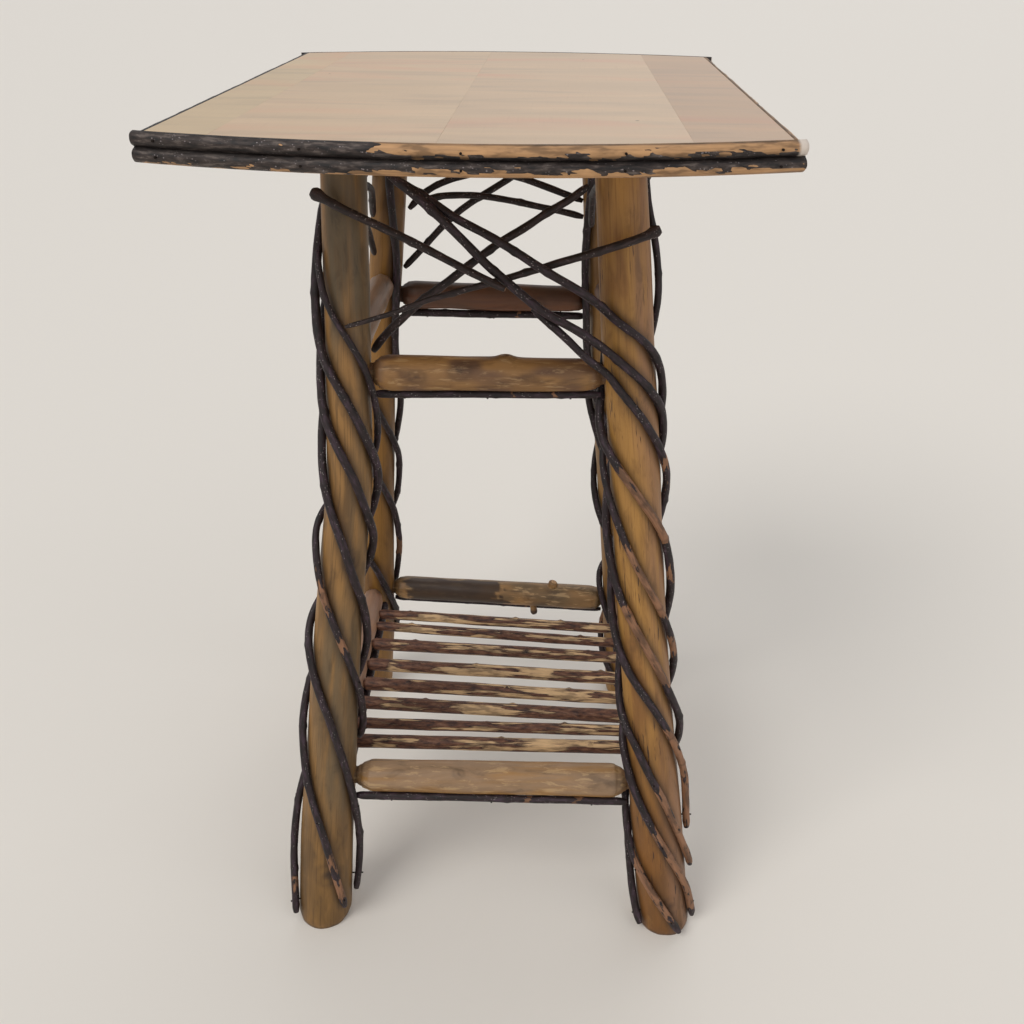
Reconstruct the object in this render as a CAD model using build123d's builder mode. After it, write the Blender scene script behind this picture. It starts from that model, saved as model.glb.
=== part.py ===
from build123d import *
from math import asin, ceil, cos, degrees, pi, radians, sin, tan
import os

# A small rustic table of peeled hickory poles. Four splayed legs carry a bowed top of four boards,
# two tiers of round rails and a slatted shelf. Thin switches climb the legs and cross below the top.
# Millimetres. The floor is z = 0 and the front faces -Y. The origin lies midway between the feet and
# the top's two sides.

# Top: boards side by side in X, with ends bowed outwards, in a rim of two rows of split saplings.
table_height = 780
top_middle = -3
board_thickness = 20
board_widths = (44, 145, 156, 64)
board_side_length = 481
bow = 30
trim_depth = 6
trim_row_height = 10
trim_overhang = 3

# Cleats: two battens under the boards. They hold the boards together and take the leg tenons.
cleat_thickness = 19
cleat_width = 64
cleat_inset = 12
head_tenon_radius = 12

# Legs: foot and head are the middles of the two ends. bend is how far the pole strays in X at each
# station on its way up, and radii are its own there. Heights on the legs, below, are drawn for legs that
# end at drawn_shoulder.
drawn_shoulder = 741
stations = (0, 0.135, 0.297, 0.459, 0.648, 0.81, 1)
legs = {
    "front_left": {
        "foot": (-167, -190),
        "head": (-112, -89),
        "bend": (0, 0, 3, 6, 13, 8, 0),
        "radii": (27.5, 27, 24, 21.5, 20, 19, 18),
    },
    "front_right": {
        "foot": (185, -183),
        "head": (103, -84),
        "bend": (0, -1, -2, -4, -2.5, -2.5, 0),
        "radii": (26, 25.5, 23.5, 22.5, 22, 21.5, 20.5),
    },
    "back_left": {
        "foot": (-177, 187),
        "head": (-99, 85),
        "bend": (0, 0, -2.5, -4, -5.5, -1.5, 0),
        "radii": (25, 23.5, 21.5, 19.5, 18, 17, 17),
    },
    "back_right": {
        "foot": (163, 186),
        "head": (92, 87),
        "bend": (0, 1, 2, 1, -1, -1, 0),
        "radii": (25.5, 24.5, 23, 22, 21, 19.5, 18.5),
    },
}

# Rails: each is a pole between two legs, with its drawn height and its radius at either end, start first.
rails = {
    "lower_front_rail": ("front_left", "front_right", 167, 167, 16, 16.5),
    "lower_back_rail": ("back_left", "back_right", 170, 160, 14.5, 15.5),
    "lower_left_rail": ("front_left", "back_left", 172, 172, 14, 13),
    "lower_right_rail": ("front_right", "back_right", 172, 172, 14, 13),
    "upper_front_rail": ("front_left", "front_right", 568, 569, 15, 14),
    "upper_back_rail": ("back_left", "back_right", 566, 563, 14.5, 13.2),
    "upper_left_rail": ("front_left", "back_left", 583, 583, 14, 13),
    "upper_right_rail": ("front_right", "back_right", 583, 583, 13, 14),
}
rail_tenon_radius = 8.5
rail_tenon_stop = 9.5
rail_shoulder_gap = 2
rail_taper = 12

# Shelf: spindles between the two lower side rails, also carried by a ledger twig on each rail.
spindle_count = 8
spindle_pitch = 30.6
shelf_middle = -14.5
spindle_left_drift = (6.7, 13.5, 8.6, 1.4, -2.1, -3.4, -6, -2.7)
spindle_right_drift = (-10, -7.6, -4.2, -11, -14, -12.8, -3.8, 1.9)
spindle_radii = (6, 5.6, 6.8, 7.2, 7.2, 7.2, 5.8, 7)
spindle_tenon_radius = 4
spindle_tenon_stop = 4
spindle_shoulder_gap = 1
spindle_taper = 4
ledger_radius = 5.5

# Twigs nailed along the front and back rails: radius, and the turn from straight below to the front.
rail_twigs = {
    "lower_front_rail": (4, 32),
    "lower_back_rail": (3.5, -8),
    "upper_front_rail": (3.5, 4),
    "upper_back_rail": (4, 4),
}
twig_gap = 0.2
twig_end_gap = 3

# Switches: thin rods wound on the legs. Lattice twigs are like them, and cross between the legs.
switch_radius = 3.6
lattice_radius = 3.2
switch_gap = 0.6
step_angle = 30
step_height = 45
straight_limit = 0.6
arc_share = 0.45

# Fasteners: brads hold the rim, twigs and switches, and screws hold the cleats to the boards.
brad_radius = 0.8
brad_length = 15
brad_proud = 0.4
nail_share = 0.45
rim_brads = 5
rim_brad_inset = 18
screw_radius = 2
screw_length = 31
screw_head_radius = 4
screw_head_height = 2.5
screw_inset = 8

# Worked out from the sizes above.
boards_width = sum(board_widths)
boards_bottom = table_height - board_thickness
shoulder_height = boards_bottom - cleat_thickness
arc_radius = (boards_width / 2) ** 2 / (2 * bow) + bow / 2
arc_middle = board_side_length / 2 + bow - arc_radius
cleat_length = boards_width - 2 * cleat_inset
bottom_up = (Align.CENTER, Align.CENTER, Align.MIN)

# Places of the brads and of the bores, listed by the piece that they pass through.
brads = []
brad_holes = {}
bores = {}

os.makedirs("parts", exist_ok=True)


def save(builder, name):
    """Label a finished piece and write its STEP file."""
    builder.part.label = name
    export_step(builder.part, f"parts/{name}.step")


def drive_brad(surface, aim, *pieces):
    """Drive a brad from just above a surface point towards aim, through the named pieces."""
    direction = (aim - surface).normalized()
    plane = Plane(origin=surface - direction * brad_proud, z_dir=direction)
    brads.append(plane)
    for piece in pieces:
        brad_holes.setdefault(piece, []).append(plane)


def drill_brads(piece):
    """Cut the holes of a piece's brads, inside its own builder."""
    if piece in brad_holes:
        with Locations(*brad_holes[piece]):
            Cylinder(brad_radius, brad_length, align=bottom_up, mode=Mode.SUBTRACT)


def drill_bores(piece):
    """Cut the round mortises of a piece, inside its own builder."""
    for plane, radius, depth in bores.get(piece, ()):
        with Locations(plane):
            Cylinder(radius, depth, align=bottom_up, mode=Mode.SUBTRACT)


def on_leg(name, height):
    """The middle of a leg at a height, and its radius there."""
    leg = legs[name]
    share = min(max(height / shoulder_height, 0), 1)
    lower = max(i for i, station in enumerate(stations[:-1]) if station <= share)
    part_way = (share - stations[lower]) / (stations[lower + 1] - stations[lower])

    def blend(values):
        return values[lower] + (values[lower + 1] - values[lower]) * part_way

    lean = [foot + (head - foot) * share for foot, head in zip(leg["foot"], leg["head"])]
    middle = Vector(lean[0] + blend(leg["bend"]), lean[1], height)
    return middle, blend(leg["radii"])


def placed(height):
    """Where a drawn height lies on the legs. Below the third station it stays as drawn, above the fifth it
    keeps its distance from the cleats, and between them it is stretched."""
    low = drawn_shoulder * stations[2]
    high = drawn_shoulder * stations[4]
    share = min(max((height - low) / (high - low), 0), 1)
    return height + (shoulder_height - drawn_shoulder) * share


# ---------------------------------------------------------------- rails, spindles and their bores


def bar_line(start, end):
    """The unit vector from one point to another, and the distance."""
    line = end - start
    return line.normalized(), line.length


def turned_bar(start, end, tips, shoulders, tenon_radius, radii, taper):
    """Revolve a pole between two points, with round tenons. tips and shoulders are counted inwards."""
    along, length = bar_line(start, end)
    with BuildSketch(Plane(origin=start, x_dir=along, z_dir=along.cross(Vector(0, 0, 1)))) as profile:
        with BuildLine():
            Polyline(
                (tips[0], 0),
                (tips[0], tenon_radius),
                (shoulders[0], tenon_radius),
                (shoulders[0] + taper, radii[0]),
                (length - shoulders[1] - taper, radii[1]),
                (length - shoulders[1], tenon_radius),
                (length - tips[1], tenon_radius),
                (length - tips[1], 0),
                close=True,
            )
        make_face()
    revolve(profile.sketch, axis=Axis(start, along))


def add_bore(piece, start, along, tip, shoulder, radius, run_out):
    """Note the mortise that a tenon needs in a piece."""
    plane = Plane(origin=start + along * tip, z_dir=along)
    bores.setdefault(piece, []).append((plane, radius, shoulder - tip + run_out))


def rail_line(name):
    """Where a rail's middle line starts and ends, in the middles of its two legs."""
    start_leg, end_leg, start_height, end_height, _, _ = rails[name]
    return on_leg(start_leg, placed(start_height))[0], on_leg(end_leg, placed(end_height))[0]


def rail_shoulders(name):
    start_leg, end_leg, start_height, end_height, _, _ = rails[name]
    ends = ((start_leg, start_height), (end_leg, end_height))
    return [on_leg(leg, placed(height))[1] + rail_shoulder_gap for leg, height in ends]


def rail_point(name, y):
    """The point of a side rail's middle line at a place in Y."""
    start, end = rail_line(name)
    return start + (end - start) * ((y - start.Y) / (end.Y - start.Y))


def rail_radius(name, y):
    """The radius of a side rail's body at a place in Y."""
    start, end = rail_line(name)
    near, far = rail_shoulders(name)
    run = (end - start).length - near - far - 2 * rail_taper
    along = (end - start).length * (y - start.Y) / (end.Y - start.Y) - near - rail_taper
    share = min(max(along / run, 0), 1)
    start_radius, end_radius = rails[name][-2:]
    return start_radius + (end_radius - start_radius) * share


for rail, (start_leg, end_leg, *_) in rails.items():
    start, end = rail_line(rail)
    along, length = bar_line(start, end)
    near, far = rail_shoulders(rail)
    tip = rail_tenon_stop
    gap = rail_shoulder_gap
    add_bore(f"{start_leg}_leg", start, along, tip, near, rail_tenon_radius, gap)
    add_bore(f"{end_leg}_leg", end, along * -1, tip, far, rail_tenon_radius, gap)

spindles = {}
for i in range(spindle_count):
    name = f"shelf_spindle_{i + 1}"
    y = shelf_middle + (spindle_count / 2 - 0.5 - i) * spindle_pitch
    left_y = y + spindle_left_drift[i % len(spindle_left_drift)]
    right_y = y + spindle_right_drift[i % len(spindle_right_drift)]
    left = rail_point("lower_left_rail", left_y)
    right = rail_point("lower_right_rail", right_y)
    shoulders = [
        rail_radius("lower_left_rail", left_y) + spindle_shoulder_gap,
        rail_radius("lower_right_rail", right_y) + spindle_shoulder_gap,
    ]
    along, length = bar_line(left, right)
    tip = spindle_tenon_stop
    gap = spindle_shoulder_gap
    add_bore("lower_left_rail", left, along, tip, shoulders[0], spindle_tenon_radius, gap)
    add_bore("lower_right_rail", right, along * -1, tip, shoulders[1], spindle_tenon_radius, gap)
    spindles[name] = (left, right, shoulders, spindle_radii[i % len(spindle_radii)])


# ------------------------------------------------------------------ straight twigs along the rails


rods = {}


def along_rail(rail, name, radius, offset_direction):
    """Lay a straight twig along a rail, touching it on the side that offset_direction gives."""
    start, end = rail_line(rail)
    along, length = bar_line(start, end)
    near, far = rail_shoulders(rail)
    start_radius, end_radius = rails[rail][-2:]
    near_end = start + along * (near + twig_end_gap) + offset_direction * (start_radius + radius + twig_gap)
    far_end = end - along * (far + twig_end_gap) + offset_direction * (end_radius + radius + twig_gap)
    ends = (near_end, far_end)
    rods[name] = (ends[0], ends[1], radius)
    for share in (0.12, 0.5, 0.88):
        centre = ends[0] + (ends[1] - ends[0]) * share
        drive_brad(centre + offset_direction * radius, centre - offset_direction * radius, name, rail)


for rail, (radius, turn) in rail_twigs.items():
    downwards = Vector(0, -sin(radians(turn)), -cos(radians(turn)))
    along_rail(rail, f"{rail}_twig", radius, downwards)

for side, name in ((1, "left"), (-1, "right")):
    rail = f"lower_{name}_rail"
    reach = min(rails[rail][-2:]) + ledger_radius + twig_gap
    drop = max(spindle_radii) + ledger_radius + twig_gap
    inwards = Vector(side * cos(asin(drop / reach)), 0, -drop / reach)
    along_rail(rail, f"{name}_shelf_ledger", ledger_radius, inwards)

# ----------------------------------------------------------------------------- switches and lattice


def wrap(leg, *turns, radius=switch_radius):
    """Points of a switch wound on a leg. Each turn is an angle from the front towards the right,
    a drawn height, and how far the switch stands off the leg there."""
    points = []
    for (turn_a, height_a, lift_a), (turn_b, height_b, lift_b) in zip(turns, turns[1:]):
        steps = max(ceil(abs(turn_b - turn_a) / step_angle), ceil(abs(height_b - height_a) / step_height), 1)
        for k in range(steps):
            share = k / steps
            points.append((turn_a + (turn_b - turn_a) * share, height_a + (height_b - height_a) * share,
                           lift_a + (lift_b - lift_a) * share))
    points.append(turns[-1])
    route = []
    for turn, height, lift in points:
        middle, leg_radius = on_leg(leg, placed(height))
        reach = (leg_radius + radius + switch_gap + lift) / cos(radians(step_angle / 2))
        route.append(middle + Vector(sin(radians(turn)), -cos(radians(turn)), 0) * reach)
    return route


def beside(leg, *places):
    """Points of a switch where it crosses open space. Each place is how far it lies to the right of the
    leg's middle line and behind it, and its drawn height."""
    return [on_leg(leg, placed(height))[0] + Vector(right, back, 0) for right, back, height in places]


def without_straights(route):
    """Drop each point at which the route hardly turns."""
    kept = [route[0]]
    for point, after in zip(route[1:], route[2:]):
        if (point - kept[-1]).get_angle(after - point) > straight_limit:
            kept.append(point)
    return kept + [route[-1]]


def bend_radii(route):
    """The largest radius that each corner's two runs leave room for."""
    radii = []
    for before, corner, after in zip(route, route[1:], route[2:]):
        turn = radians((corner - before).get_angle(after - corner))
        run = min((corner - before).length, (after - corner).length)
        radii.append(arc_share * run / tan(turn / 2))
    return radii


def tube(route, radius):
    """Sweep a round rod along straight runs joined by tangent arcs, inside a part builder."""
    with BuildLine() as path:
        FilletPolyline(*route, radius=bend_radii(route))
    line = path.wires()[0]
    with BuildSketch(Plane(origin=line @ 0, z_dir=line % 0)) as section:
        Circle(radius)
    sweep(section.sketch, path=line)
    return line.length


def nail_run(route, run, radius, leg, name):
    """Drive a brad through one run of a route, into the leg."""
    centre = route[run] + (route[run + 1] - route[run]) * nail_share
    middle, _ = on_leg(leg, centre.Z)
    outwards = (centre - middle).normalized()
    drive_brad(centre + outwards * radius, middle, name, f"{leg}_leg")


# Front left leg.
front_left_switches = {
    "front_left_switch_a": beside("back_left", (-22, -14, 733), (-29, -65.5, 724))
    + beside("front_left", (-23.5, 57, 713))
    + wrap("front_left", (-140, 715, 0), (-115, 692, 0), (-100, 668, 1), (-90, 640, 3), (-84, 618, 3),
           (-62, 593, 1), (-17, 568, 0), (15, 545, 0), (44, 518, 0), (74, 495, 0), (100, 470, 1), (135, 428, 0), (180, 385, 0),
           (225, 352, 0), (280, 327, 1), (314, 297, 0), (357, 257, 0), (394, 202, 0), (418, 159, 0),
           (440, 120, 0), (455, 90, 2), (457, 60, 2), (450, 28, 0)),
    "front_left_switch_b": wrap(
        "front_left", (-72, 668, 0), (-58, 652, 0), (-42, 634, 0), (7, 606, 0), (52, 573, 0), (66, 555, 1),
        (80, 533, 1), (100, 512, 0), (130, 490, 0), (180, 462, 0), (230, 445, 0), (280, 428, 2),
        (307, 397, 0), (333, 373, 0), (359, 349, 0), (389, 315, 0), (426, 272, 0), (458, 223, 1),
        (482, 200, 0)),
    "front_left_switch_c": wrap(
        "front_left", (-165, 690, 0), (-130, 640, 0), (-95, 590, 0), (-68, 559, 0), (-58, 539, 0),
        (-19, 516, 0), (17, 486, 0), (49, 453, 0), (97, 415, 1), (140, 375, 0), (180, 330, 0),
        (230, 285, 0), (286, 230, 1), (308, 194, 0), (339, 156, 0), (366, 116, 0), (386, 72, 0),
        (408, 26, 0)),
    "front_left_switch_d": wrap(
        "front_left", (-150, 610, 0), (-115, 550, 0), (-80, 500, 0), (-44, 468, 0), (-1, 432, 0),
        (35, 389, 0), (78, 346, 0), (98, 320, 2), (140, 265, 0), (200, 200, 0), (250, 155, 0),
        (280, 118, 1), (284, 78, 2), (290, 33, 0), (300, 10, 0)),
}

# Front right leg. The first three come down from the other side, below the top, and reach it in turn.
front_right_switches = {
    "front_right_switch_a": beside(
        "front_left", (40, -27.5, 729), (55.5, -28.5, 722), (70.5, -29, 713), (89.5, -31.5, 701))
    + beside("front_right", (-98, -39.5, 686), (-68, -41, 667), (-34, -37.5, 646))
    + wrap("front_right", (-48, 629, 0), (-6, 617, 0), (31, 605, 0), (62, 587, 1), (86, 562, 1),
           (120, 522, 0), (180, 458, 0), (230, 410, 0), (270, 362, 1), (278, 335, 0), (327, 299, 0),
           (363, 274, 0), (404, 233, 0), (447, 173, 2), (453, 140, 1), (455, 112, 0)),
    "front_right_switch_b": beside(
        "front_left", (43.5, -36.5, 730), (52.5, -36.5, 724), (66.5, -36, 712), (82.5, -35, 697))
    + beside(
        "front_right", (-121.5, -39, 680), (-108, -38, 666), (-89.5, -38, 650), (-70, -38.5, 634),
        (-36, -35, 614))
    + wrap("front_right", (-31, 593, 0), (9, 579, 0), (40, 563, 0), (77, 541, 0), (110, 508, 0),
           (160, 455, 0), (200, 415, 0)),
    "front_right_switch_c": beside(
        "front_right", (-75, -28.5, 631), (-64, -29, 621), (-49.5, -30, 608), (-33, -33, 592))
    + wrap("front_right", (-45, 577, 0), (-17, 563, 0), (18, 542, 0), (52, 515, 0), (86, 484, 1),
           (125, 440, 0), (180, 372, 0), (230, 305, 0), (271, 255, 0), (324, 228, 0), (371, 173, 0),
           (410, 115, 0), (439, 75, 1)),
    "front_right_switch_d": wrap(
        "front_right", (-215, 728, 0), (-185, 680, 0), (-155, 620, 0), (-130, 578, 0), (-109, 549, 0),
        (-91, 529, 3), (-23, 492, 0), (20, 462, 0), (60, 430, 0), (86, 386, 1), (140, 318, 0),
        (190, 265, 0), (240, 228, 0), (285, 207, 0), (312, 177, 0), (343, 143, 0), (374, 108, 0),
        (418, 55, 0), (437, 12, 0)),
    "front_right_switch_e": wrap(
        "front_right", (128, 732, 0), (122, 700, 0), (102, 666, 2), (98, 637, 2), (125, 600, 0),
        (180, 548, 0), (240, 515, 0), (270, 495, 2), (311, 452, 0), (345, 417, 0), (409, 354, 0),
        (447, 310, 0), (500, 255, 0), (555, 205, 0), (600, 165, 0), (626, 138, 1), (641, 100, 0),
        (684, 73, 0), (720, 40, 0), (748, 9, 0)),
    "front_right_switch_f": wrap(
        "front_right", (-130, 486, 0), (-108, 460, 0), (-90, 431, 2),
        (-72, 396, 0), (-15, 350, 0), (18, 315, 0), (48, 278, 0), (87, 236, 1), (130, 190, 0),
        (180, 145, 0), (240, 116, 0), (260, 98, 1), (270, 60, 0), (286, 27, 0), (304, 8, 0)),
}

# The back legs' switches are fewer, and share a node for each leg.
back_left_switches = [
    wrap("back_left", (0, 728, 0), (5, 690, 0), (24, 640, 0), (38, 606, 0), (40, 566, 1),
         (52, 507, 0), (92, 440, 2), (125, 395, 0), (150, 355, 0), (180, 325, 0), (240, 285, 0),
         (275, 262, 0), (360, 225, 0), (392, 186, 0), (420, 156, 0), (460, 108, 0), (520, 60, 0),
         (560, 18, 0)),
    wrap("back_left", (-125, 480, 0), (-90, 430, 0), (-40, 380, 0), (15, 345, 0), (73, 287, 0),
         (94, 240, 3), (105, 201, 1), (150, 140, 0), (200, 80, 0), (245, 25, 0)),
    wrap("back_left", (160, 728, 0), (176, 640, 0), (190, 560, 0), (212, 480, 0), (240, 400, 0),
         (268, 320, 0)),
    wrap("back_left", (-60, 500, 0), (-20, 460, 0), (20, 425, 0), (60, 392, 0), (90, 365, 2),
         (108, 318, 1), (160, 265, 0), (215, 215, 0)),
]
back_right_switches = [
    wrap("back_right", (-18, 728, 0), (-27, 683, 0), (-56, 614, 0), (-54, 585, 2), (-54, 550, 2),
         (-70, 510, 0), (-41, 456, 0), (0, 405, 0), (45, 350, 0), (90, 300, 0), (140, 255, 0),
         (180, 224, 0), (240, 204, 0), (268, 193, 0), (300, 168, 0), (330, 132, 0), (360, 98, 0),
         (400, 48, 0), (420, 14, 0)),
    wrap("back_right", (95, 610, 0), (120, 520, 0), (180, 430, 0), (230, 375, 0), (270, 332, 0),
         (315, 290, 0), (360, 250, 0), (405, 205, 0), (450, 160, 0), (500, 110, 0), (540, 60, 0),
         (570, 15, 0)),
    wrap("back_right", (175, 728, 0), (188, 640, 0), (222, 560, 0), (262, 480, 0), (300, 430, 0),
         (360, 352, 0), (405, 305, 0), (450, 255, 0), (500, 200, 0), (540, 162, 0), (600, 118, 0),
         (630, 92, 0), (680, 52, 0), (712, 16, 0)),
]

# Twigs that cross between the legs. The first two lie over the legs' faces, and the others butt on them.
front_lattice = {
    "front_lattice_twig_a": beside(
        "front_left", (-19.5, -26.5, 717), (1.5, -27, 706), (23, -28, 697), (59, -31, 682),
        (93.5, -33.5, 666))
    + beside("front_right", (-112, -42, 658), (-94.5, -46, 651)),
    "front_lattice_twig_b": beside(
        "front_right", (27, -32.5, 694), (14, -33, 688), (-20, -32.5, 677), (-51, -31, 668),
        (-82.5, -31, 658), (-109.5, -30, 650))
    + beside("front_left", (70, -24, 637), (44, -25.5, 627), (3, -28.5, 615)),
    "front_lattice_twig_c": beside(
        "front_right", (-26, -6, 719), (-42, -7.5, 708), (-62, -9.5, 698), (-78, -10, 687),
        (-92.5, -10, 680), (-109.5, -10.5, 669))
    + beside(
        "front_left", (79.5, -4.5, 643), (56, -2, 625), (46, 1, 615), (33.5, 7, 603), (23, 14, 588),
        (18, 19, 580)),
}
back_lattice = [
    beside("back_left", (20.5, 1.5, 597), (37.5, 4, 616), (53, 5.5, 637), (69, 7, 653), (87.5, 8.5, 666))
    + beside("back_right", (-85, 8.5, 686), (-50.5, 11.5, 714)),
    beside("back_left", (21, -1.5, 656), (34, -0.5, 672), (48, -0.5, 680), (61.5, -0.5, 686),
           (94.5, 0.5, 694))
    + beside("back_right", (-77, -2, 687), (-53.5, -3.5, 679), (-21.5, -3, 667)),
    beside("back_left", (35.5, -11.5, 666), (47, -10.5, 671), (85, -10.5, 672))
    + beside("back_right", (-84.5, -13, 667), (-50, -14, 660), (-22.5, -13.5, 654)),
]
left_lattice = [
    beside("back_left", (-21.5, 20.5, 693), (-23, -6, 690), (-26, -64.5, 672))
    + beside("front_left", (-23.5, 83, 653), (-24, 45.5, 634)),
    beside("front_left", (-6, 25, 722), (-9, 71.5, 694))
    + beside("back_left", (-9.5, -61.5, 650), (-8.5, -25, 616)),
    beside("back_left", (-12, -20, 653), (-8.5, -52.5, 686))
    + beside("front_left", (0, 84.5, 701), (0, 36, 684)),
]
right_lattice = [
    beside("front_right", (27.5, 19, 733), (24.5, 66, 712))
    + beside("back_right", (30, -54.5, 684), (25, -13.5, 664), (23.5, 17.5, 655)),
    beside("back_right", (1, -26.5, 716), (2, -77, 682))
    + beside("front_right", (-6, 61, 644), (-3.5, 26.5, 616)),
    beside("back_right", (-12.5, -27.5, 648), (-10, -60.5, 686))
    + beside("front_right", (-16.5, 73, 704), (-13.5, 30.5, 692)),
]

switch_pieces = {}
for leg, named in (("front_left", front_left_switches), ("front_right", front_right_switches)):
    for name, points in named.items():
        switch_pieces[name] = [(leg, points)]
switch_pieces["back_left_switches"] = [("back_left", points) for points in back_left_switches]
switch_pieces["back_right_switches"] = [("back_right", points) for points in back_right_switches]

tubes = {}
for name, members in switch_pieces.items():
    tubes[name] = []
    for leg, points in members:
        route = without_straights(points)
        tubes[name].append((route, switch_radius))
        for run in (-5, -2):
            nail_run(route, len(route) + run, switch_radius, leg, name)
for name, points in front_lattice.items():
    tubes[name] = [(without_straights(points), lattice_radius)]
for name, members in (("back", back_lattice), ("left", left_lattice), ("right", right_lattice)):
    tubes[f"{name}_lattice"] = [(without_straights(points), lattice_radius) for points in members]

# ------------------------------------------------------------------------------------- the rim


def split_sapling(plane, inner, height):
    """Draw a sapling split lengthwise on a plane: a flat back at inner, a round face beyond it."""
    round_radius = trim_row_height / 2
    flat = inner + trim_depth - round_radius
    top = height + round_radius
    bottom = height - round_radius
    with BuildSketch(plane) as section:
        with BuildLine():
            Polyline((flat, top), (inner, top), (inner, bottom), (flat, bottom))
            ThreePointArc((flat, bottom), (inner + trim_depth, height), (flat, top))
        make_face()
    return section.sketch


trim_reach = boards_width / 2 + trim_depth + trim_overhang
trim_half_angle = degrees(asin(trim_reach / (arc_radius + trim_depth)))
trim_rows = {
    "upper": table_height - trim_row_height / 2,
    "lower": table_height - trim_row_height * 1.5,
}
board_seams = [top_middle - boards_width / 2 + sum(board_widths[:i]) for i in range(len(board_widths) + 1)]


def board_at(x):
    """The name of the board that lies at a place in X."""
    for i, seam in enumerate(board_seams[1:]):
        if x < seam:
            return f"top_board_{i + 1}"
    return f"top_board_{len(board_widths)}"


for row, height in trim_rows.items():
    for k in range(rim_brads):
        share = k / (rim_brads - 1)
        turn = (2 * share - 1) * (trim_half_angle - degrees(rim_brad_inset / arc_radius))
        for side, name in ((-1, "front"), (1, "back")):
            outwards = Vector(sin(radians(turn)), side * cos(radians(turn)), 0)
            axis_point = Vector(top_middle, side * arc_middle, height)
            surface = axis_point + outwards * (arc_radius + trim_depth)
            drive_brad(surface, axis_point, f"{name}_trim_{row}", board_at(surface.X))
        y = (2 * share - 1) * (board_side_length / 2 - rim_brad_inset)
        for side, name in ((-1, "left"), (1, "right")):
            surface = Vector(top_middle + side * (boards_width / 2 + trim_depth), y, height)
            drive_brad(surface, Vector(top_middle, y, height), f"{name}_trim_{row}", board_at(surface.X))

# -------------------------------------------------------------------------------------- screws

cleats = {
    "front_cleat": (legs["front_left"]["head"], legs["front_right"]["head"]),
    "back_cleat": (legs["back_left"]["head"], legs["back_right"]["head"]),
}
cleat_y = {name: (heads[0][1] + heads[1][1]) / 2 for name, heads in cleats.items()}
screws = {}
for cleat, y in cleat_y.items():
    for i, width in enumerate(board_widths):
        for side in (-1, 1):
            row_y = y + side * (cleat_width / 2 - screw_inset)
            plane = Plane(origin=(board_seams[i] + width / 2, row_y, shoulder_height))
            screws.setdefault(cleat, []).append(plane)
            screws.setdefault(f"top_board_{i + 1}", []).append(plane)


def screw_shapes(planes, mode):
    """Add screws at the given planes, or cut their holes."""
    with Locations(*planes):
        Cylinder(screw_radius, screw_length, align=bottom_up, mode=mode)
        Cone(screw_head_radius, screw_radius, screw_head_height, align=bottom_up, mode=mode)


# ------------------------------------------------------------------------------- solids and files


def rim_outline(x, width):
    """Draw the part of the top's outline between two seams."""
    with Locations((x, 0)):
        Rectangle(width, 4 * arc_radius)
    for side in (-1, 1):
        with Locations((top_middle, side * arc_middle)):
            Circle(arc_radius, mode=Mode.INTERSECT)


for i, width in enumerate(board_widths):
    name = f"top_board_{i + 1}"
    with BuildPart() as board:
        with BuildSketch(Plane.XY.offset(boards_bottom)):
            rim_outline(board_seams[i] + width / 2, width)
        extrude(amount=board_thickness)
        screw_shapes(screws[name], Mode.SUBTRACT)
        drill_brads(name)
    save(board, name)

for row, height in trim_rows.items():
    for side, end_name in ((-1, "front"), (1, "back")):
        name = f"{end_name}_trim_{row}"
        turn = radians(trim_half_angle)
        centre = Vector(top_middle, side * arc_middle, 0)
        radial = Vector(sin(turn) * side, cos(turn) * side, 0)
        with BuildPart() as trim:
            section_plane = Plane(origin=centre, x_dir=radial, z_dir=radial.cross(Vector(0, 0, 1)))
            section = split_sapling(section_plane, arc_radius, height)
            revolve(section, axis=Axis(centre, (0, 0, 1)), revolution_arc=2 * trim_half_angle)
            drill_brads(name)
        save(trim, name)
    for side, side_name in ((-1, "left"), (1, "right")):
        name = f"{side_name}_trim_{row}"
        with BuildPart() as trim:
            section_plane = Plane(origin=(top_middle, 0, 0), x_dir=(side, 0, 0), z_dir=(0, -side, 0))
            section = split_sapling(section_plane, boards_width / 2, height)
            extrude(section, amount=board_side_length, both=True)
            with BuildSketch(Plane.XY.offset(table_height)):
                rim_outline(top_middle, 4 * boards_width)
            extrude(amount=-3 * trim_row_height, mode=Mode.INTERSECT)
            drill_brads(name)
        save(trim, name)

for name, heads in cleats.items():
    with BuildPart() as cleat:
        with BuildSketch(Plane.XY.offset(shoulder_height)):
            with Locations((top_middle, cleat_y[name])):
                Rectangle(cleat_length, cleat_width)
            with Locations(*heads):
                Circle(head_tenon_radius, mode=Mode.SUBTRACT)
        extrude(amount=cleat_thickness)
        screw_shapes(screws[name], Mode.SUBTRACT)
    save(cleat, name)

for rail, (start_leg, end_leg, _, _, start_radius, end_radius) in rails.items():
    start, end = rail_line(rail)
    tips = (rail_tenon_stop, rail_tenon_stop)
    shoulders = rail_shoulders(rail)
    radii = (start_radius, end_radius)
    with BuildPart() as pole:
        turned_bar(start, end, tips, shoulders, rail_tenon_radius, radii, rail_taper)
        drill_bores(rail)
        drill_brads(rail)
    save(pole, rail)

for name, (left, right, shoulders, radius) in spindles.items():
    tips = (spindle_tenon_stop, spindle_tenon_stop)
    with BuildPart() as spindle:
        turned_bar(left, right, tips, shoulders, spindle_tenon_radius, (radius, radius), spindle_taper)
    save(spindle, name)

for name, (start, end, radius) in rods.items():
    with BuildPart() as rod:
        with Locations(Plane(origin=start, z_dir=end - start)):
            Cylinder(radius, (end - start).length, align=bottom_up)
        drill_brads(name)
    save(rod, name)

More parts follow.
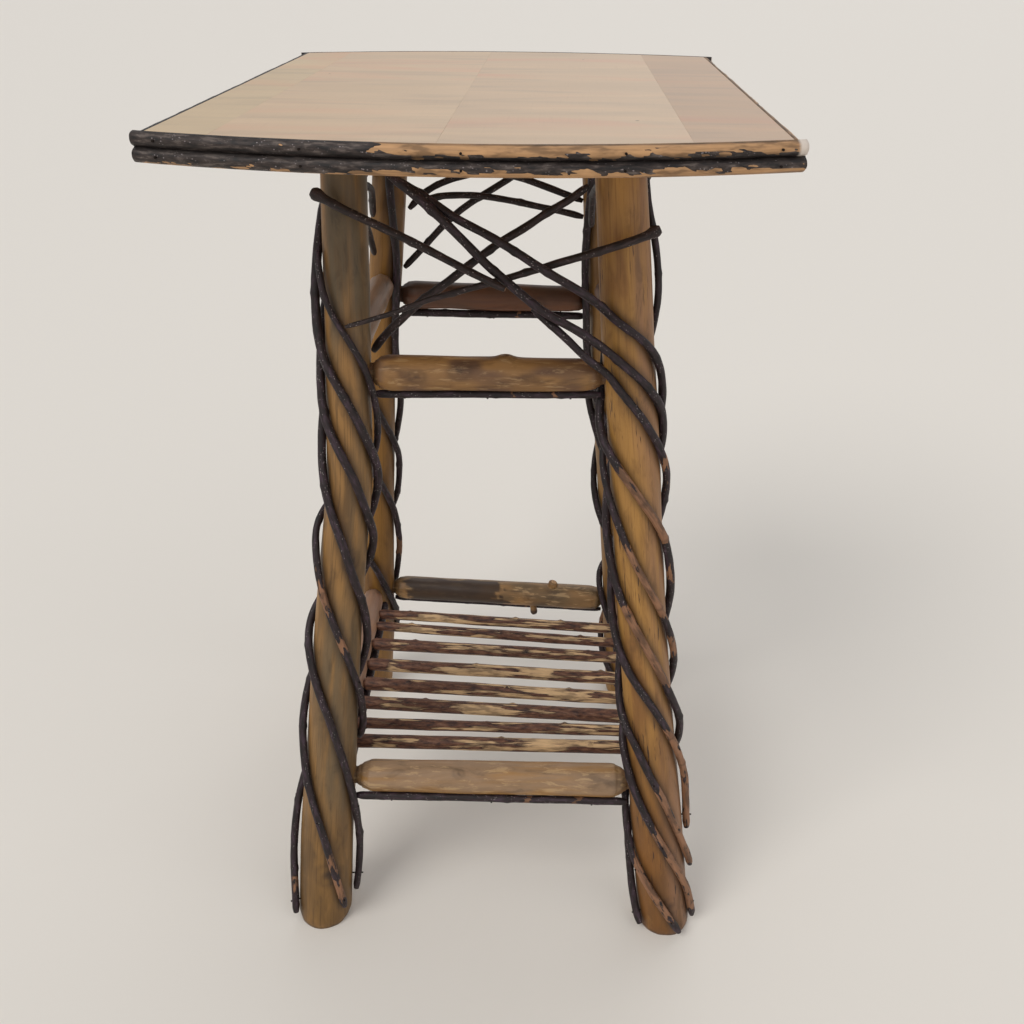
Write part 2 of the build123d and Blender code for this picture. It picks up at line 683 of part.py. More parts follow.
for name, members in tubes.items():
    with BuildPart() as switch:
        swept = sum(tube(route, radius) * pi * radius**2 for route, radius in members)
        print(f"{name}: {len(members)} rod, volume {switch.part.volume:.0f}, section times length {swept:.0f}")
        drill_brads(name)
    save(switch, name)

for leg, shape in legs.items():
    name = f"{leg}_leg"
    with BuildPart() as pole:
        for share in stations:
            middle, radius = on_leg(leg, share * shoulder_height)
            with BuildSketch(Plane.XY.offset(middle.Z)):
                with Locations((middle.X, middle.Y)):
                    Circle(radius)
        loft(ruled=True)
        with Locations((*shape["head"], shoulder_height)):
            Cylinder(head_tenon_radius, cleat_thickness, align=bottom_up)
        drill_bores(name)
        drill_brads(name)
    save(pole, name)

with BuildPart() as screw_group:
    screw_shapes(screws["front_cleat"] + screws["back_cleat"], Mode.ADD)
save(screw_group, "cleat_screws")

with BuildPart() as brad_group:
    with Locations(*brads):
        Cylinder(brad_radius, brad_length, align=bottom_up)
save(brad_group, "brads")
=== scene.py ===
from math import asin, cos, pi, radians, sin, sqrt

import bpy
import numpy as np
from mathutils import Matrix, Vector
from mathutils.kdtree import KDTree


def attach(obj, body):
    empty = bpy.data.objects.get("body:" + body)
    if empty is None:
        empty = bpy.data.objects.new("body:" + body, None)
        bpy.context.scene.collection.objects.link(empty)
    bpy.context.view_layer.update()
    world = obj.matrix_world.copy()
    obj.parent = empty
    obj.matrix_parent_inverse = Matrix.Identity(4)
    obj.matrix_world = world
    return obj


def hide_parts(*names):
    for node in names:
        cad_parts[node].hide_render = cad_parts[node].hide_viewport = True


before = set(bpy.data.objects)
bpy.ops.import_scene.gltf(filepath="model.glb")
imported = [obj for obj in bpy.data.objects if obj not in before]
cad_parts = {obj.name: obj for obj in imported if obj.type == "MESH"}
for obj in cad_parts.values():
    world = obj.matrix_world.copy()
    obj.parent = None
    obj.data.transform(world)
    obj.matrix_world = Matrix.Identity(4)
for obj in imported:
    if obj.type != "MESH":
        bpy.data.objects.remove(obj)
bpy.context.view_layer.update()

scene = bpy.context.scene
MM = 0.001

# ---- camera

CAMERA_PLACE = Vector((0.05611, -0.91399, 0.89079))
CAMERA_RIGHT = Vector((0.99895, 0.04543, 0.00555))
CAMERA_UP = Vector((-0.02716, 0.49099, 0.87074))
CAMERA_FORWARD = Vector((-0.03683, 0.86998, -0.49171))
SENSOR_WIDTH = 36
LENS = 36.16
CLIP_NEAR = 0.02
CLIP_FAR = 60
camera_data = bpy.data.cameras.new("camera")
camera_data.sensor_width = SENSOR_WIDTH
camera_data.lens = LENS
camera_data.clip_start = CLIP_NEAR
camera_data.clip_end = CLIP_FAR
camera = bpy.data.objects.new("camera", camera_data)
scene.collection.objects.link(camera)
camera.matrix_world = Matrix.Translation(CAMERA_PLACE) @ Matrix(
    (CAMERA_RIGHT, CAMERA_UP, -CAMERA_FORWARD)
).transposed().to_4x4()
scene.camera = camera
scene.view_settings.view_transform = "Standard"

# ---- noise, in numpy, from a fixed hash


def lattice(i, j, k, seed):
    """A value from -1 to 1 for each whole-number point of space."""
    n = (i * 73856093) ^ (j * 19349663) ^ (k * 83492791) ^ (seed * 2654435761)
    n = n & 0xFFFFFFFF
    n = ((n ^ (n >> 15)) * 2246822519) & 0xFFFFFFFF
    n = ((n ^ (n >> 13)) * 3266489917) & 0xFFFFFFFF
    n = n ^ (n >> 16)
    return (n & 0xFFFF) / 32767.5 - 1


def noise(x, y, z, seed=0):
    """Smooth noise from -1 to 1."""
    x, y, z = np.broadcast_arrays(np.asarray(x, float), np.asarray(y, float), np.asarray(z, float))
    base = [np.floor(v).astype(np.int64) for v in (x, y, z)]
    part = [v - b for v, b in zip((x, y, z), base)]
    ease = [p * p * (3 - 2 * p) for p in part]
    total = 0
    for a in (0, 1):
        for b in (0, 1):
            for c in (0, 1):
                weight = 1
                for corner, e in zip((a, b, c), ease):
                    weight = weight * (e if corner else 1 - e)
                total = total + weight * lattice(base[0] + a, base[1] + b, base[2] + c, seed)
    return total


def layered(x, y, z, seed=0, layers=3):
    """Noise of several scales, the finer ones weaker."""
    total = 0
    for n in range(layers):
        total = total + noise(x * 2**n, y * 2**n, z * 2**n, seed + 17 * n) / 2**n
    return total


def surface(s, a, around, along, seed, form=noise):
    """Noise on a pole at a run s and an angle a: its fineness around the pole, and its length along it."""
    return form(np.cos(a) * around, np.sin(a) * around, s / along, seed)


def uneven(s, a, seed, *layers):
    """A sum of noises on a pole, each with its height, its fineness around and its length along."""
    total = 0
    for k, (height, around, along) in enumerate(layers):
        total = total + height * surface(s, a, around, along, seed + 2 * k)
    return total


def smooth(low, high, value):
    """0 below low, 1 above high, and a smooth step between them."""
    share = np.clip((value - low) / (high - low), 0, 1)
    return share * share * (3 - 2 * share)


def bump(distance, width):
    """1 where the distance is 0, and less away from there."""
    return np.exp(-((distance / width) ** 2))


# ---- pole and twig meshes


class Shell:
    """Collects vertices, faces and per-vertex marks for one piece. Lengths are in millimetres."""

    def __init__(self):
        self.parts = []
        self.faces = []
        self.count = 0

    def add(self, parts, faces):
        """Add faces, and groups of vertices: their points, their places on the unrolled pole, their marks."""
        self.parts += parts
        self.faces += [tuple(v + self.count for v in face) for face in faces]
        self.count += sum(len(points) for points, along, marks in parts)

    def piece(self, name, material, nodes, smooth_faces=True):
        """Make the object, with its attributes: run is the place on the unrolled pole, in metres."""
        points, along, marks = (np.concatenate(part) for part in zip(*self.parts))
        mesh = bpy.data.meshes.new(name)
        mesh.from_pydata((points * MM).tolist(), [], self.faces)
        mesh.polygons.foreach_set("use_smooth", [smooth_faces] * len(mesh.polygons))
        run = mesh.attributes.new("run", "FLOAT_VECTOR", "POINT")
        run.data.foreach_set("vector", (along * MM).ravel())
        colour = mesh.attributes.new("marks", "FLOAT_COLOR", "POINT")
        colour.data.foreach_set("color", marks.ravel())
        mesh.update()
        mesh.validate()
        obj = bpy.data.objects.new(name, mesh)
        scene.collection.objects.link(obj)
        mesh.materials.append(material)
        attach(obj, "root")
        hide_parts(*nodes)


def distances(points):
    """How far along a line each of its points is."""
    steps = np.linalg.norm(np.diff(points, axis=0), axis=1)
    return np.concatenate([[0], np.cumsum(steps)])


def resample(points, step):
    """Points at even steps along a line."""
    points = np.asarray(points, float)
    run = distances(points)
    places = np.linspace(0, run[-1], max(int(round(run[-1] / step)), 2) + 1)
    return np.stack([np.interp(places, run, points[:, k]) for k in range(3)], axis=1)


def softened(line, times):
    """Smooth a line of points, or a row of numbers, and leave its two ends."""
    line = line.copy()
    for _ in range(times):
        line[1:-1] = line[1:-1] * 0.5 + (line[:-2] + line[2:]) * 0.25
    return line


def carried_axes(line, reference):
    """Two directions across the line at each point. Where reference is None they are carried along."""
    tangent = np.gradient(line, axis=0)
    tangent /= np.linalg.norm(tangent, axis=1)[:, None]
    if reference is None:
        first = np.zeros_like(line)
        start = np.cross(tangent[0], (0.3, 0.2, 1))
        first[0] = start / np.linalg.norm(start)
        for i in range(1, len(line)):
            v = first[i - 1] - tangent[i] * np.dot(first[i - 1], tangent[i])
            first[i] = v / np.linalg.norm(v)
    else:
        reference = np.asarray(reference, float)
        first = reference - tangent * (tangent @ reference)[:, None]
        first /= np.linalg.norm(first, axis=1)[:, None]
    return tangent, first, np.cross(tangent, first)


# The rounded end of a rod: rings by their share of its radius and of the end's height.
cap_rings = ((0.93, 0.6), (0.8, 0.9), (0.45, 1.0))
cap_height = 0.3


def rod(shell, line, radii, segments, cap, reference=None, relief=None, paint=None, section=None,
        level=False):
    """Add a closed rod. relief(s, angle) is a height, and paint(s, angle, points) gives three marks.
    A level rod is upright, with rings that lie flat and its angles counted from the front."""
    if level:
        tangent, first, second = (np.zeros_like(line) + axis for axis in ((0, 0, 1), (0, -1, 0), (1, 0, 0)))
    else:
        tangent, first, second = carried_axes(line, reference)
    rows = len(line)
    s, a = np.meshgrid(distances(line), np.arange(segments) * 2 * pi / segments, indexing="ij")
    radius = np.asarray(radii, float)[:, None] + 0 * a
    if section is not None:
        radius = section(radius, s, a)
    if relief is not None:
        radius = radius + relief(s, a)
    x, y = np.cos(a) * radius, np.sin(a) * radius
    points = line[:, None] + first[:, None] * x[..., None] + second[:, None] * y[..., None]
    along = np.stack([x, y, s], axis=2)
    marks = np.zeros((rows, segments, 4))
    marks[..., 3] = 1
    if paint is not None:
        marks[..., :3] = np.stack(paint(s, a, points), axis=2)
    neighbours = [(j, (j + 1) % segments) for j in range(segments)]

    def band(low, high):
        return [(low + j, low + k, high + k, high + j) for j, k in neighbours]

    faces = [face for i in range(rows - 1) for face in band(i * segments, (i + 1) * segments)]
    parts = [(points.reshape(-1, 3), along.reshape(-1, 3), marks.reshape(-1, 4))]
    total = rows * segments
    for row, way in ((0, -1), (rows - 1, 1)):
        centre = points[row].mean(axis=0)
        outwards = tangent[row] * way
        lift = float(radius[row].mean()) * cap * cap_height
        previous = row * segments
        for share, rise in cap_rings:
            ring = centre + (points[row] - centre) * share + outwards * (lift * rise)
            mark = marks[row].copy()
            if share < 0.9:
                mark[:, 2] = 1
            parts.append((ring, along[row] * (share, share, 1), mark))
            faces += [face[::way] for face in band(previous, total)]
            previous = total
            total += segments
        middle = along[row].mean(axis=0) * (0, 0, 1)
        parts.append(((centre + outwards * lift)[None], middle[None], [(0, 0, 1, 1)]))
        faces += [(previous + j, previous + k, total)[::way] for j, k in neighbours]
        total += 1
    shell.add(parts, faces)


# ---- materials


def linear(red, green, blue):
    """A colour written as it is seen, 0 to 255."""
    def one(value):
        value /= 255
        return value / 12.92 if value <= 0.04045 else ((value + 0.055) / 1.055) ** 2.4
    return (one(red), one(green), one(blue))


def shaded(colour, share):
    """A colour made darker, or lighter with a share over 1. Three shares tint it."""
    return tuple(np.minimum(np.multiply(colour, share), 1).tolist())


def opaque(value):
    """A colour with its fourth value. A socket stays as it is."""
    return (*value, 1) if isinstance(value, tuple) else value


class Maker:
    """Short ways to add nodes to one material."""

    def __init__(self, name):
        self.material = bpy.data.materials.new(name)
        self.material.use_nodes = True
        self.tree = self.material.node_tree
        self.tree.nodes.clear()
        output = self.node("ShaderNodeOutputMaterial")
        self.shader = self.node("ShaderNodeBsdfPrincipled")
        self.put(output.inputs[0], self.shader.outputs[0])

    def node(self, kind, values=(), **settings):
        node = self.tree.nodes.new(kind)
        for key, value in settings.items():
            setattr(node, key, value)
        for key, value in dict(values).items():
            self.put(node.inputs[key], value)
        return node

    def put(self, socket, value):
        if isinstance(value, bpy.types.NodeSocket):
            self.tree.links.new(value, socket)
        else:
            socket.default_value = value

    def attribute(self, name, output="Vector"):
        return self.node("ShaderNodeAttribute", attribute_name=name).outputs[output]

    def along(self):
        """How far up or along the pole a point is, in metres."""
        return self.node("ShaderNodeSeparateXYZ", {"Vector": self.attribute("run")}).outputs["Z"]

    def marks(self):
        return self.node("ShaderNodeSeparateColor", {"Color": self.attribute("marks", "Color")}).outputs[:3]

    def stretched(self, scale, shift=(0, 0, 0)):
        """The place on the unrolled pole, or on a board, with a scale along each axis."""
        values = {"Vector": self.attribute("run"), "Location": shift, "Scale": scale}
        return self.node("ShaderNodeMapping", values).outputs[0]

    def noise(self, vector, detail, rough, distortion=0, scale=1):
        values = {"Vector": vector, "Scale": scale, "Detail": detail, "Roughness": rough,
                  "Distortion": distortion}
        return self.node("ShaderNodeTexNoise", values).outputs["Fac"]

    def on_pole(self, around, along, shift):
        """The place on the unrolled pole, with a scale around it and a scale along it."""
        return self.stretched((around, around, along), (shift, shift * 0.7, shift * 1.3))

    def grain(self, around, along, shift, detail, rough, distortion=0):
        return self.noise(self.on_pole(around, along, shift), detail, rough, distortion)

    def math(self, operation, *values):
        return self.node("ShaderNodeMath", dict(enumerate(values)), operation=operation).outputs[0]

    def times(self, a, b):
        return self.math("MULTIPLY", a, b)

    def step(self, fac, low, high):
        """A value from 0 to 1 as fac goes from low to high."""
        values = {"Value": fac, "From Min": low, "From Max": high}
        return self.node("ShaderNodeMapRange", values, interpolation_type="SMOOTHSTEP").outputs[0]

    def ramp(self, fac, stops, interpolation="EASE"):
        node = self.node("ShaderNodeValToRGB", {0: fac})
        node.color_ramp.interpolation = interpolation
        elements = node.color_ramp.elements
        while len(elements) < len(stops):
            elements.new(0.5)
        for element, (place, colour) in zip(elements, stops):
            element.position = place
            element.color = opaque(colour)
        return node.outputs[0]

    def over(self, base, colour, mask, share=None):
        """A colour over a base where the mask is, by a share."""
        if share is not None:
            mask = self.times(mask, share)
        values = {0: mask, 6: opaque(base), 7: opaque(colour)}
        return self.node("ShaderNodeMix", values, data_type="RGBA").outputs[2]

    def finish(self, colour, roughness, height=None, strength=0.3, depth=0.001, coat=0, coat_rough=0.2,
               specular=0.5):
        values = {"Base Color": opaque(colour), "Roughness": roughness, "Specular IOR Level": specular,
                  "Coat Weight": coat, "Coat Roughness": coat_rough}
        if height is not None:
            bumps = self.node("ShaderNodeBump", {"Height": height, "Strength": strength, "Distance": depth})
            values["Normal"] = bumps.outputs[0]
        for key, value in values.items():
            self.put(self.shader.inputs[key], value)
        return self.material


pale_spot = linear(206, 172, 124)
fleck_colour = linear(66, 42, 26)
stain_and_shade_colour = linear(46, 31, 22)
end_ring_colours = (linear(176, 136, 88), linear(120, 84, 52))


def peeled_wood(name, light, dark, grey, fleck, seed, foot=None, blotch=0.4, cream=0, fibre_share=0.16):
    """Peeled hickory. Marks: red is weathering, green is dark knots, stains and, on the legs, painted shade
    beside the switches, blue is a cut end.
    foot is a darker colour that the wood turns to below a height, partly its own tone and partly painted
    shade on the lower leg, and cream is how many pale spots it has."""
    m = Maker(name)
    light, dark, grey = linear(*light), linear(*dark), linear(*grey)
    grey_mark, stain_and_shade_mark, end_mark = m.marks()
    slow = m.grain(34, 7, seed, 3, 0.55, 0.4)
    cloud = m.grain(85, 26, seed + 12, 4, 0.6, 0.6)
    fibre = m.grain(840, 15, seed + 3, 3, 0.65)
    fine = m.grain(1900, 60, seed + 5, 2, 0.5)
    wood = m.ramp(slow, [(0.3, dark), (0.52, light), (0.74, shaded(light, 1.12))])
    # Below a height the wood turns to the foot colour, which is darker: partly the wood's own tone, partly
    # painted shade on the lower leg.
    if foot is not None:
        colour, height = linear(*foot[0]), foot[1]
        below = m.ramp(slow, [(0.34, shaded(colour, 0.62)), (0.56, colour), (0.72, shaded(colour, 1.3))])
        wood = m.over(wood, below, m.step(m.along(), height, height * 0.35))
    wood = m.over(wood, shaded(dark, 0.7), m.step(cloud, 0.5, 0.74), blotch)
    wood = m.over(wood, shaded(light, 1.18), m.step(cloud, 0.46, 0.28), blotch * 0.6)
    wood = m.over(wood, shaded(dark, 0.5), m.step(fibre, 0.5, 0.66), fibre_share)
    streak = m.grain(90, 9, seed + 9, 4, 0.6, 0.3)
    grey_wood = m.ramp(cloud, [(0.36, shaded(grey, 1.15)), (0.52, grey), (0.68, shaded(grey, 0.68))])
    wood = m.over(wood, grey_wood, grey_mark, m.step(streak, 0.22, 0.58))
    if cream:
        wood = m.over(wood, pale_spot, m.step(m.grain(210, 44, seed + 15, 4, 0.65, 0.4), 0.54, 0.64), cream)
    cell = m.grain(620, 46, seed + 1, 2, 0.5)
    patchy = m.grain(40, 14, seed + 2, 2, 0.5)
    flecks = m.times(m.step(cell, 0.63, 0.68), m.step(patchy, 0.56 - 0.12 * fleck, 0.62))
    wood = m.over(wood, fleck_colour, flecks, fleck)
    # Dark knots and stains, and on the legs painted shade beside the switches.
    wood = m.over(wood, stain_and_shade_colour, stain_and_shade_mark, 0.92)
    end_colour = m.over(*end_ring_colours, m.step(m.grain(700, 30, seed + 7, 2, 0.5), 0.4, 0.7))
    wood = m.over(wood, end_colour, end_mark)
    rough = m.math("MULTIPLY_ADD", fibre, 0.25, 0.4)
    height = m.math("ADD", m.times(fibre, 0.5), m.times(fine, 0.35))
    return m.finish(wood, rough, height, 0.32, 0.0006, coat=0.08, coat_rough=0.35, specular=0.4)


bark_shine = linear(136, 126, 126)
peeled_edge = linear(22, 15, 14)
bark_dark_and_shade = linear(22, 16, 15)


def bark(name, seed, tones, pale, scab=(300, 70), silver=0.8, end=(128, 96, 68)):
    """Twig bark, from its darkest tone to its palest. Marks: red is where it has peeled off to tan wood,
    green darkens: scars and nubs, and on the rim painted shade where its two rows meet, blue is a cut end.
    scab is the grain of the peeled places' edges."""
    m = Maker(name)
    dark, middle, bright = (linear(*tone) for tone in tones)
    pale = linear(*pale)
    peel_mark, dark_and_shade_mark, end_mark = m.marks()
    mottle = m.grain(330, 90, seed, 4, 0.6)
    ridge = m.grain(1400, 90, seed + 4, 3, 0.6)
    skin = m.ramp(mottle, [(0.36, dark), (0.5, middle), (0.66, bright)])
    skin = m.over(skin, shaded(dark, 0.8), m.step(ridge, 0.5, 0.8), 0.8)
    cells = {"Vector": m.on_pole(560, 430, seed + 2), "Scale": 1}
    speck = m.node("ShaderNodeTexVoronoi", cells).outputs["Distance"]
    chance = m.grain(260, 110, seed + 6, 2, 0.5)
    skin = m.over(skin, bark_shine, m.times(m.step(speck, 0.3, 0.16), m.step(chance, 0.5, 0.6)), silver)
    tone = m.grain(160, 40, seed + 14, 3, 0.6)
    wood = m.ramp(tone, [(0.38, shaded(pale, 0.5)), (0.53, pale), (0.68, shaded(pale, 1.16))])
    wood = m.over(wood, shaded(pale, 0.42), m.step(m.grain(900, 24, seed + 8, 3, 0.5), 0.45, 0.72), 0.4)
    bare = m.math("SUBTRACT", m.times(peel_mark, 1.3), m.grain(*scab, seed + 11, 4, 0.65))
    peeled = m.step(bare, 0.02, 0.09)
    skin = m.over(skin, peeled_edge, m.step(bare, -0.08, 0.0), 0.6)
    skin = m.over(skin, wood, peeled)
    # Dark bud scars and nubs, and on the rim painted shade where its two rows meet.
    skin = m.over(skin, bark_dark_and_shade, dark_and_shade_mark, 0.85)
    skin = m.over(skin, linear(*end), end_mark)
    rough = m.math("MULTIPLY_ADD", mottle, 0.3, 0.44)
    height = m.math("SUBTRACT", m.math("ADD", m.times(mottle, 0.5), ridge), peeled)
    return m.finish(skin, rough, height, 0.45, 0.0007, coat=0.1, coat_rough=0.4, specular=0.35)


def pole_materials(label, woods, seed):
    """A peeled wood for each pole that is named: its light, dark and grey tones, its flecks, and what else it
    has. The seeds count on from the first."""
    return {
        name: peeled_wood(label.format(name), *tones, seed + number, **more)
        for number, (name, (*tones, more)) in enumerate(woods.items())
    }


# The foot colours are darker than the rest of each leg: partly the wood's own tone, partly painted shade on
# the lower legs.
leg_materials = pole_materials("wood_leg_{}", {
    "front_left": ((146, 107, 58), (102, 74, 40), (96, 80, 57), 0.25,
                   dict(foot=((124, 90, 44), 0.2), blotch=0.65, fibre_share=0.5)),
    "front_right": ((164, 120, 60), (132, 90, 44), (138, 100, 72), 1,
                    dict(foot=((126, 82, 34), 0.3), blotch=0.5, fibre_share=0.36)),
    "back_left": ((138, 98, 44), (100, 67, 30), (92, 65, 40), 0.2, dict(fibre_share=0.3)),
    "back_right": ((152, 112, 58), (116, 80, 42), (106, 79, 54), 0.3, dict(fibre_share=0.3)),
}, 1)
bark_switch = bark("bark_switch", 0, ((18, 11, 12), (38, 25, 27), (62, 46, 56)), (136, 97, 70))
bark_rim = bark("bark_rim", 5, ((22, 16, 15), (52, 42, 38), (96, 85, 79)), (182, 140, 98), (330, 90),
                end=(208, 196, 184))
bark_lattice = bark("bark_lattice", 9, ((20, 13, 13), (40, 28, 26), (62, 47, 48)), (138, 98, 68))

# ---- sizes, as in the part

table_height = 780
top_middle = -3
board_thickness = 20
board_widths = (44, 145, 156, 64)
board_side_length = 481
bow = 30
trim_depth = 6
trim_row_height = 10
trim_overhang = 3
shoulder_height = 741
boards_width = sum(board_widths)
arc_radius = (boards_width / 2) ** 2 / (2 * bow) + bow / 2
arc_middle = board_side_length / 2 + bow - arc_radius

# Each leg: its foot, its head, how far it bends aside at each station, and its radii there.
stations = (0, 0.135, 0.297, 0.459, 0.648, 0.81, 1)
legs = {
    "front_left": ((-167, -190), (-112, -89), (0, 0, 3, 6, 13, 8, 0),
                   (27.5, 27, 24, 21.5, 20, 19, 18)),
    "front_right": ((185, -183), (103, -84), (0, -1, -2, -4, -2.5, -2.5, 0),
                    (26, 25.5, 23.5, 22.5, 22, 21.5, 20.5)),
    "back_left": ((-177, 187), (-99, 85), (0, 0, -2.5, -4, -5.5, -1.5, 0),
                  (25, 23.5, 21.5, 19.5, 18, 17, 17)),
    "back_right": ((163, 186), (92, 87), (0, 1, 2, 1, -1, -1, 0),
                   (25.5, 24.5, 23, 22, 21, 19.5, 18.5)),
}


def on_leg(name, height):
    """The middle of a leg at a height, and its radius there."""
    foot, head, bend, radii = legs[name]
    share = min(max(height / shoulder_height, 0), 1)
    x = foot[0] + (head[0] - foot[0]) * share + float(np.interp(share, stations, bend))
    y = foot[1] + (head[1] - foot[1]) * share
    return np.array([x, y, height], float), float(np.interp(share, stations, radii))


# ---- switches, as the part's own points

switch_radius = 3.7
switch_gap = 0.5
switch_step = 3
degree_length = radians(1) * 28


def wound(leg, *turns):
    """A switch's middle line round a leg. A turn is an angle from the front, a height and perhaps a lift."""
    turns = np.array([(*turn, 0)[:3] for turn in turns], float)
    run = distances(turns[:, :2] * (degree_length, 1))
    places = np.linspace(0, run[-1], int(run[-1] / switch_step) + 2)
    rows = np.stack([np.interp(places, run, turns[:, k]) for k in range(3)], axis=1)
    line = []
    for turn, height, lift in softened(rows, 14):
        middle, leg_radius = on_leg(leg, height)
        reach = leg_radius + switch_radius + switch_gap + lift
        line.append(middle + np.array([sin(radians(turn)), -cos(radians(turn)), 0]) * reach)
    return line


def free(*points):
    """A line through points of its own, where a twig is off the legs."""
    return list(resample(points, switch_step))


# Each switch: its line, its radius at the start and at the end, and the stretches where its bark has
# peeled, as shares of its length with a strength.
front_switches = {
    "front_left_switch_a": (
        free((-122, 72, 733), (-130, 22, 724), (-136, -36, 713))
        + wound("front_left", (-140, 715), (-115, 692), (-100, 668, 1), (-90, 640, 3), (-84, 618, 3),
                (-62, 593, 1), (-17, 568), (15, 545), (44, 518), (74, 495), (100, 470, 1), (135, 428),
                (180, 385), (225, 352), (280, 327, 1), (314, 297), (357, 257), (394, 202), (418, 159),
                (440, 120), (455, 90, 2), (457, 60, 2), (450, 28)),
        (3.9, 3.6), ()),
    "front_left_switch_b": (
        wound("front_left", (-72, 668), (-58, 652), (-42, 634), (7, 606), (52, 573), (66, 555, 1),
              (80, 533, 1), (100, 512), (130, 490), (180, 462), (230, 445), (280, 428, 2), (307, 397),
              (333, 373), (359, 349), (389, 315), (426, 272), (458, 223, 1), (482, 200)),
        (2.6, 3.6), ((0.62, 0.69, 0.5), (0.735, 0.765, 0.52))),
    "front_left_switch_c": (
        wound("front_left", (-165, 690), (-130, 640), (-95, 590), (-68, 559), (-58, 539), (-19, 516),
              (17, 486), (49, 453), (97, 415, 1), (140, 375), (180, 330), (230, 285), (286, 230, 1),
              (308, 194), (339, 156), (366, 116), (386, 72), (408, 26)),
        (3.6, 3.8), ((0.895, 0.935, 0.45), (0.94, 0.985, 0.55))),
    "front_left_switch_d": (
        wound("front_left", (-150, 610), (-115, 550), (-80, 500), (-44, 468), (-1, 432), (35, 389),
              (78, 346), (98, 320, 2), (140, 265), (200, 200), (250, 155), (280, 118, 1), (284, 78, 2),
              (290, 33), (300, 10)),
        (3.7, 3.8), ((0.93, 0.96, 0.45),)),
    "front_right_switch_a": (
        free((-72, -118, 729), (-57, -120, 722), (-42, -122, 713), (-23, -126, 701), (10, -131, 686),
             (42, -135, 667), (78, -134, 646))
        + wound("front_right", (-48, 629), (-6, 617), (31, 605), (62, 587, 1), (86, 562, 1), (120, 522),
                (180, 458), (230, 410), (270, 362, 1), (278, 335), (327, 299), (363, 274), (404, 233),
                (447, 173, 2), (453, 140, 1), (455, 112)),
        (3.3, 3.7), ((0.82, 1.0, 0.5),)),
    "front_right_switch_b": (
        free((-69, -127, 730), (-60, -127, 724), (-44, -129, 712), (-28, -130, 697), (-11, -131, 680),
             (3, -132, 666), (23, -134, 650), (43, -137, 634), (79, -136, 614))
        + wound("front_right", (-31, 593), (9, 579), (40, 563), (77, 541), (110, 508), (160, 455),
                (200, 415)),
        (3.5, 3.6), ()),
    "front_right_switch_c": (
        free((38, -127, 631), (50, -129, 621), (66, -132, 608), (84, -137, 592))
        + wound("front_right", (-45, 577), (-17, 563), (18, 542), (52, 515), (86, 484, 1), (125, 440),
                (180, 372), (230, 305), (271, 255), (324, 228), (371, 173), (410, 115), (439, 75, 1)),
        (3.3, 3.7), ((0.27, 0.29, 0.6), (0.31, 0.325, 0.5), (0.82, 1.0, 0.52))),
    "front_right_switch_d": (
        wound("front_right", (-215, 728), (-185, 680), (-155, 620), (-130, 578), (-109, 549), (-91, 529, 3),
              (-23, 492), (20, 462), (60, 430), (86, 386, 1), (140, 318), (190, 265), (240, 228),
              (285, 207), (312, 177), (343, 143), (374, 108), (418, 55), (437, 12)),
        (3.6, 3.9), ((0.315, 0.42, 0.64), (0.45, 0.48, 0.5), (0.83, 0.99, 0.5))),
    "front_right_switch_e": (
        wound("front_right", (128, 732), (122, 700), (102, 666, 2), (98, 637, 2), (125, 600), (180, 548),
              (240, 515), (270, 495, 2), (311, 452), (345, 417), (409, 354), (447, 310), (500, 255),
              (555, 205), (600, 165), (626, 138, 1), (641, 100), (684, 73), (720, 40), (748, 9)),
        (2.8, 3.8), ((0.41, 0.52, 0.5), (0.54, 0.58, 0.5), (0.88, 0.98, 0.5))),
    "front_right_switch_f": (
        wound("front_right", (-130, 486), (-108, 460), (-90, 431, 2), (-72, 396), (-15, 350), (18, 315),
              (48, 278), (87, 236, 1), (130, 190), (180, 145), (240, 116), (260, 98, 1), (270, 60),
              (286, 27), (304, 8)),
        (3.7, 3.8), ((0.24, 0.42, 0.54),)),
}
back_left_switches = (
    (wound("back_left", (0, 728), (5, 690), (24, 640), (38, 606), (40, 566, 1), (52, 507), (92, 440, 2),
           (125, 395), (150, 355), (180, 325), (240, 285), (275, 262), (360, 225), (392, 186), (420, 156),
           (460, 108), (520, 60), (560, 18)),
     (3.8, 3.7), ()),
    (wound("back_left", (-125, 480), (-90, 430), (-40, 380), (15, 345), (73, 287), (94, 240, 3),
           (105, 201, 1), (150, 140), (200, 80), (245, 25)),
     (3.6, 3.7), ((0.5, 0.56, 0.6),)),
    (wound("back_left", (160, 728), (176, 640), (190, 560), (212, 480), (240, 400), (268, 320)),
     (3.5, 3.7), ((0.7, 0.8, 0.7),)),
    (wound("back_left", (-60, 500), (-20, 460), (20, 425), (60, 392), (90, 365, 2), (108, 318, 1),
           (160, 265), (215, 215)),
     (3.4, 3.6), ()),
)
back_right_switches = (
    (wound("back_right", (-18, 728), (-27, 683), (-56, 614), (-54, 585, 2), (-54, 550, 2), (-70, 510),
           (-41, 456), (0, 405), (45, 350), (90, 300), (140, 255), (180, 224), (240, 204), (268, 193),
           (300, 168), (330, 132), (360, 98), (400, 48), (420, 14)),
     (3.7, 3.7), ((0.6, 0.66, 0.7),)),
    (wound("back_right", (95, 610), (120, 520), (180, 430), (230, 375), (270, 332), (315, 290), (360, 250),
           (405, 205), (450, 160), (500, 110), (540, 60), (570, 15)),
     (3.6, 3.7), ((0.3, 0.38, 0.8),)),
    (wound("back_right", (175, 728), (188, 640), (222, 560), (262, 480), (300, 430), (360, 352), (405, 305),
           (450, 255), (500, 200), (540, 162), (600, 118), (630, 92), (680, 52), (712, 16)),
     (3.7, 3.6), ((0.45, 0.5, 0.8), (0.8, 0.86, 0.6))),
)
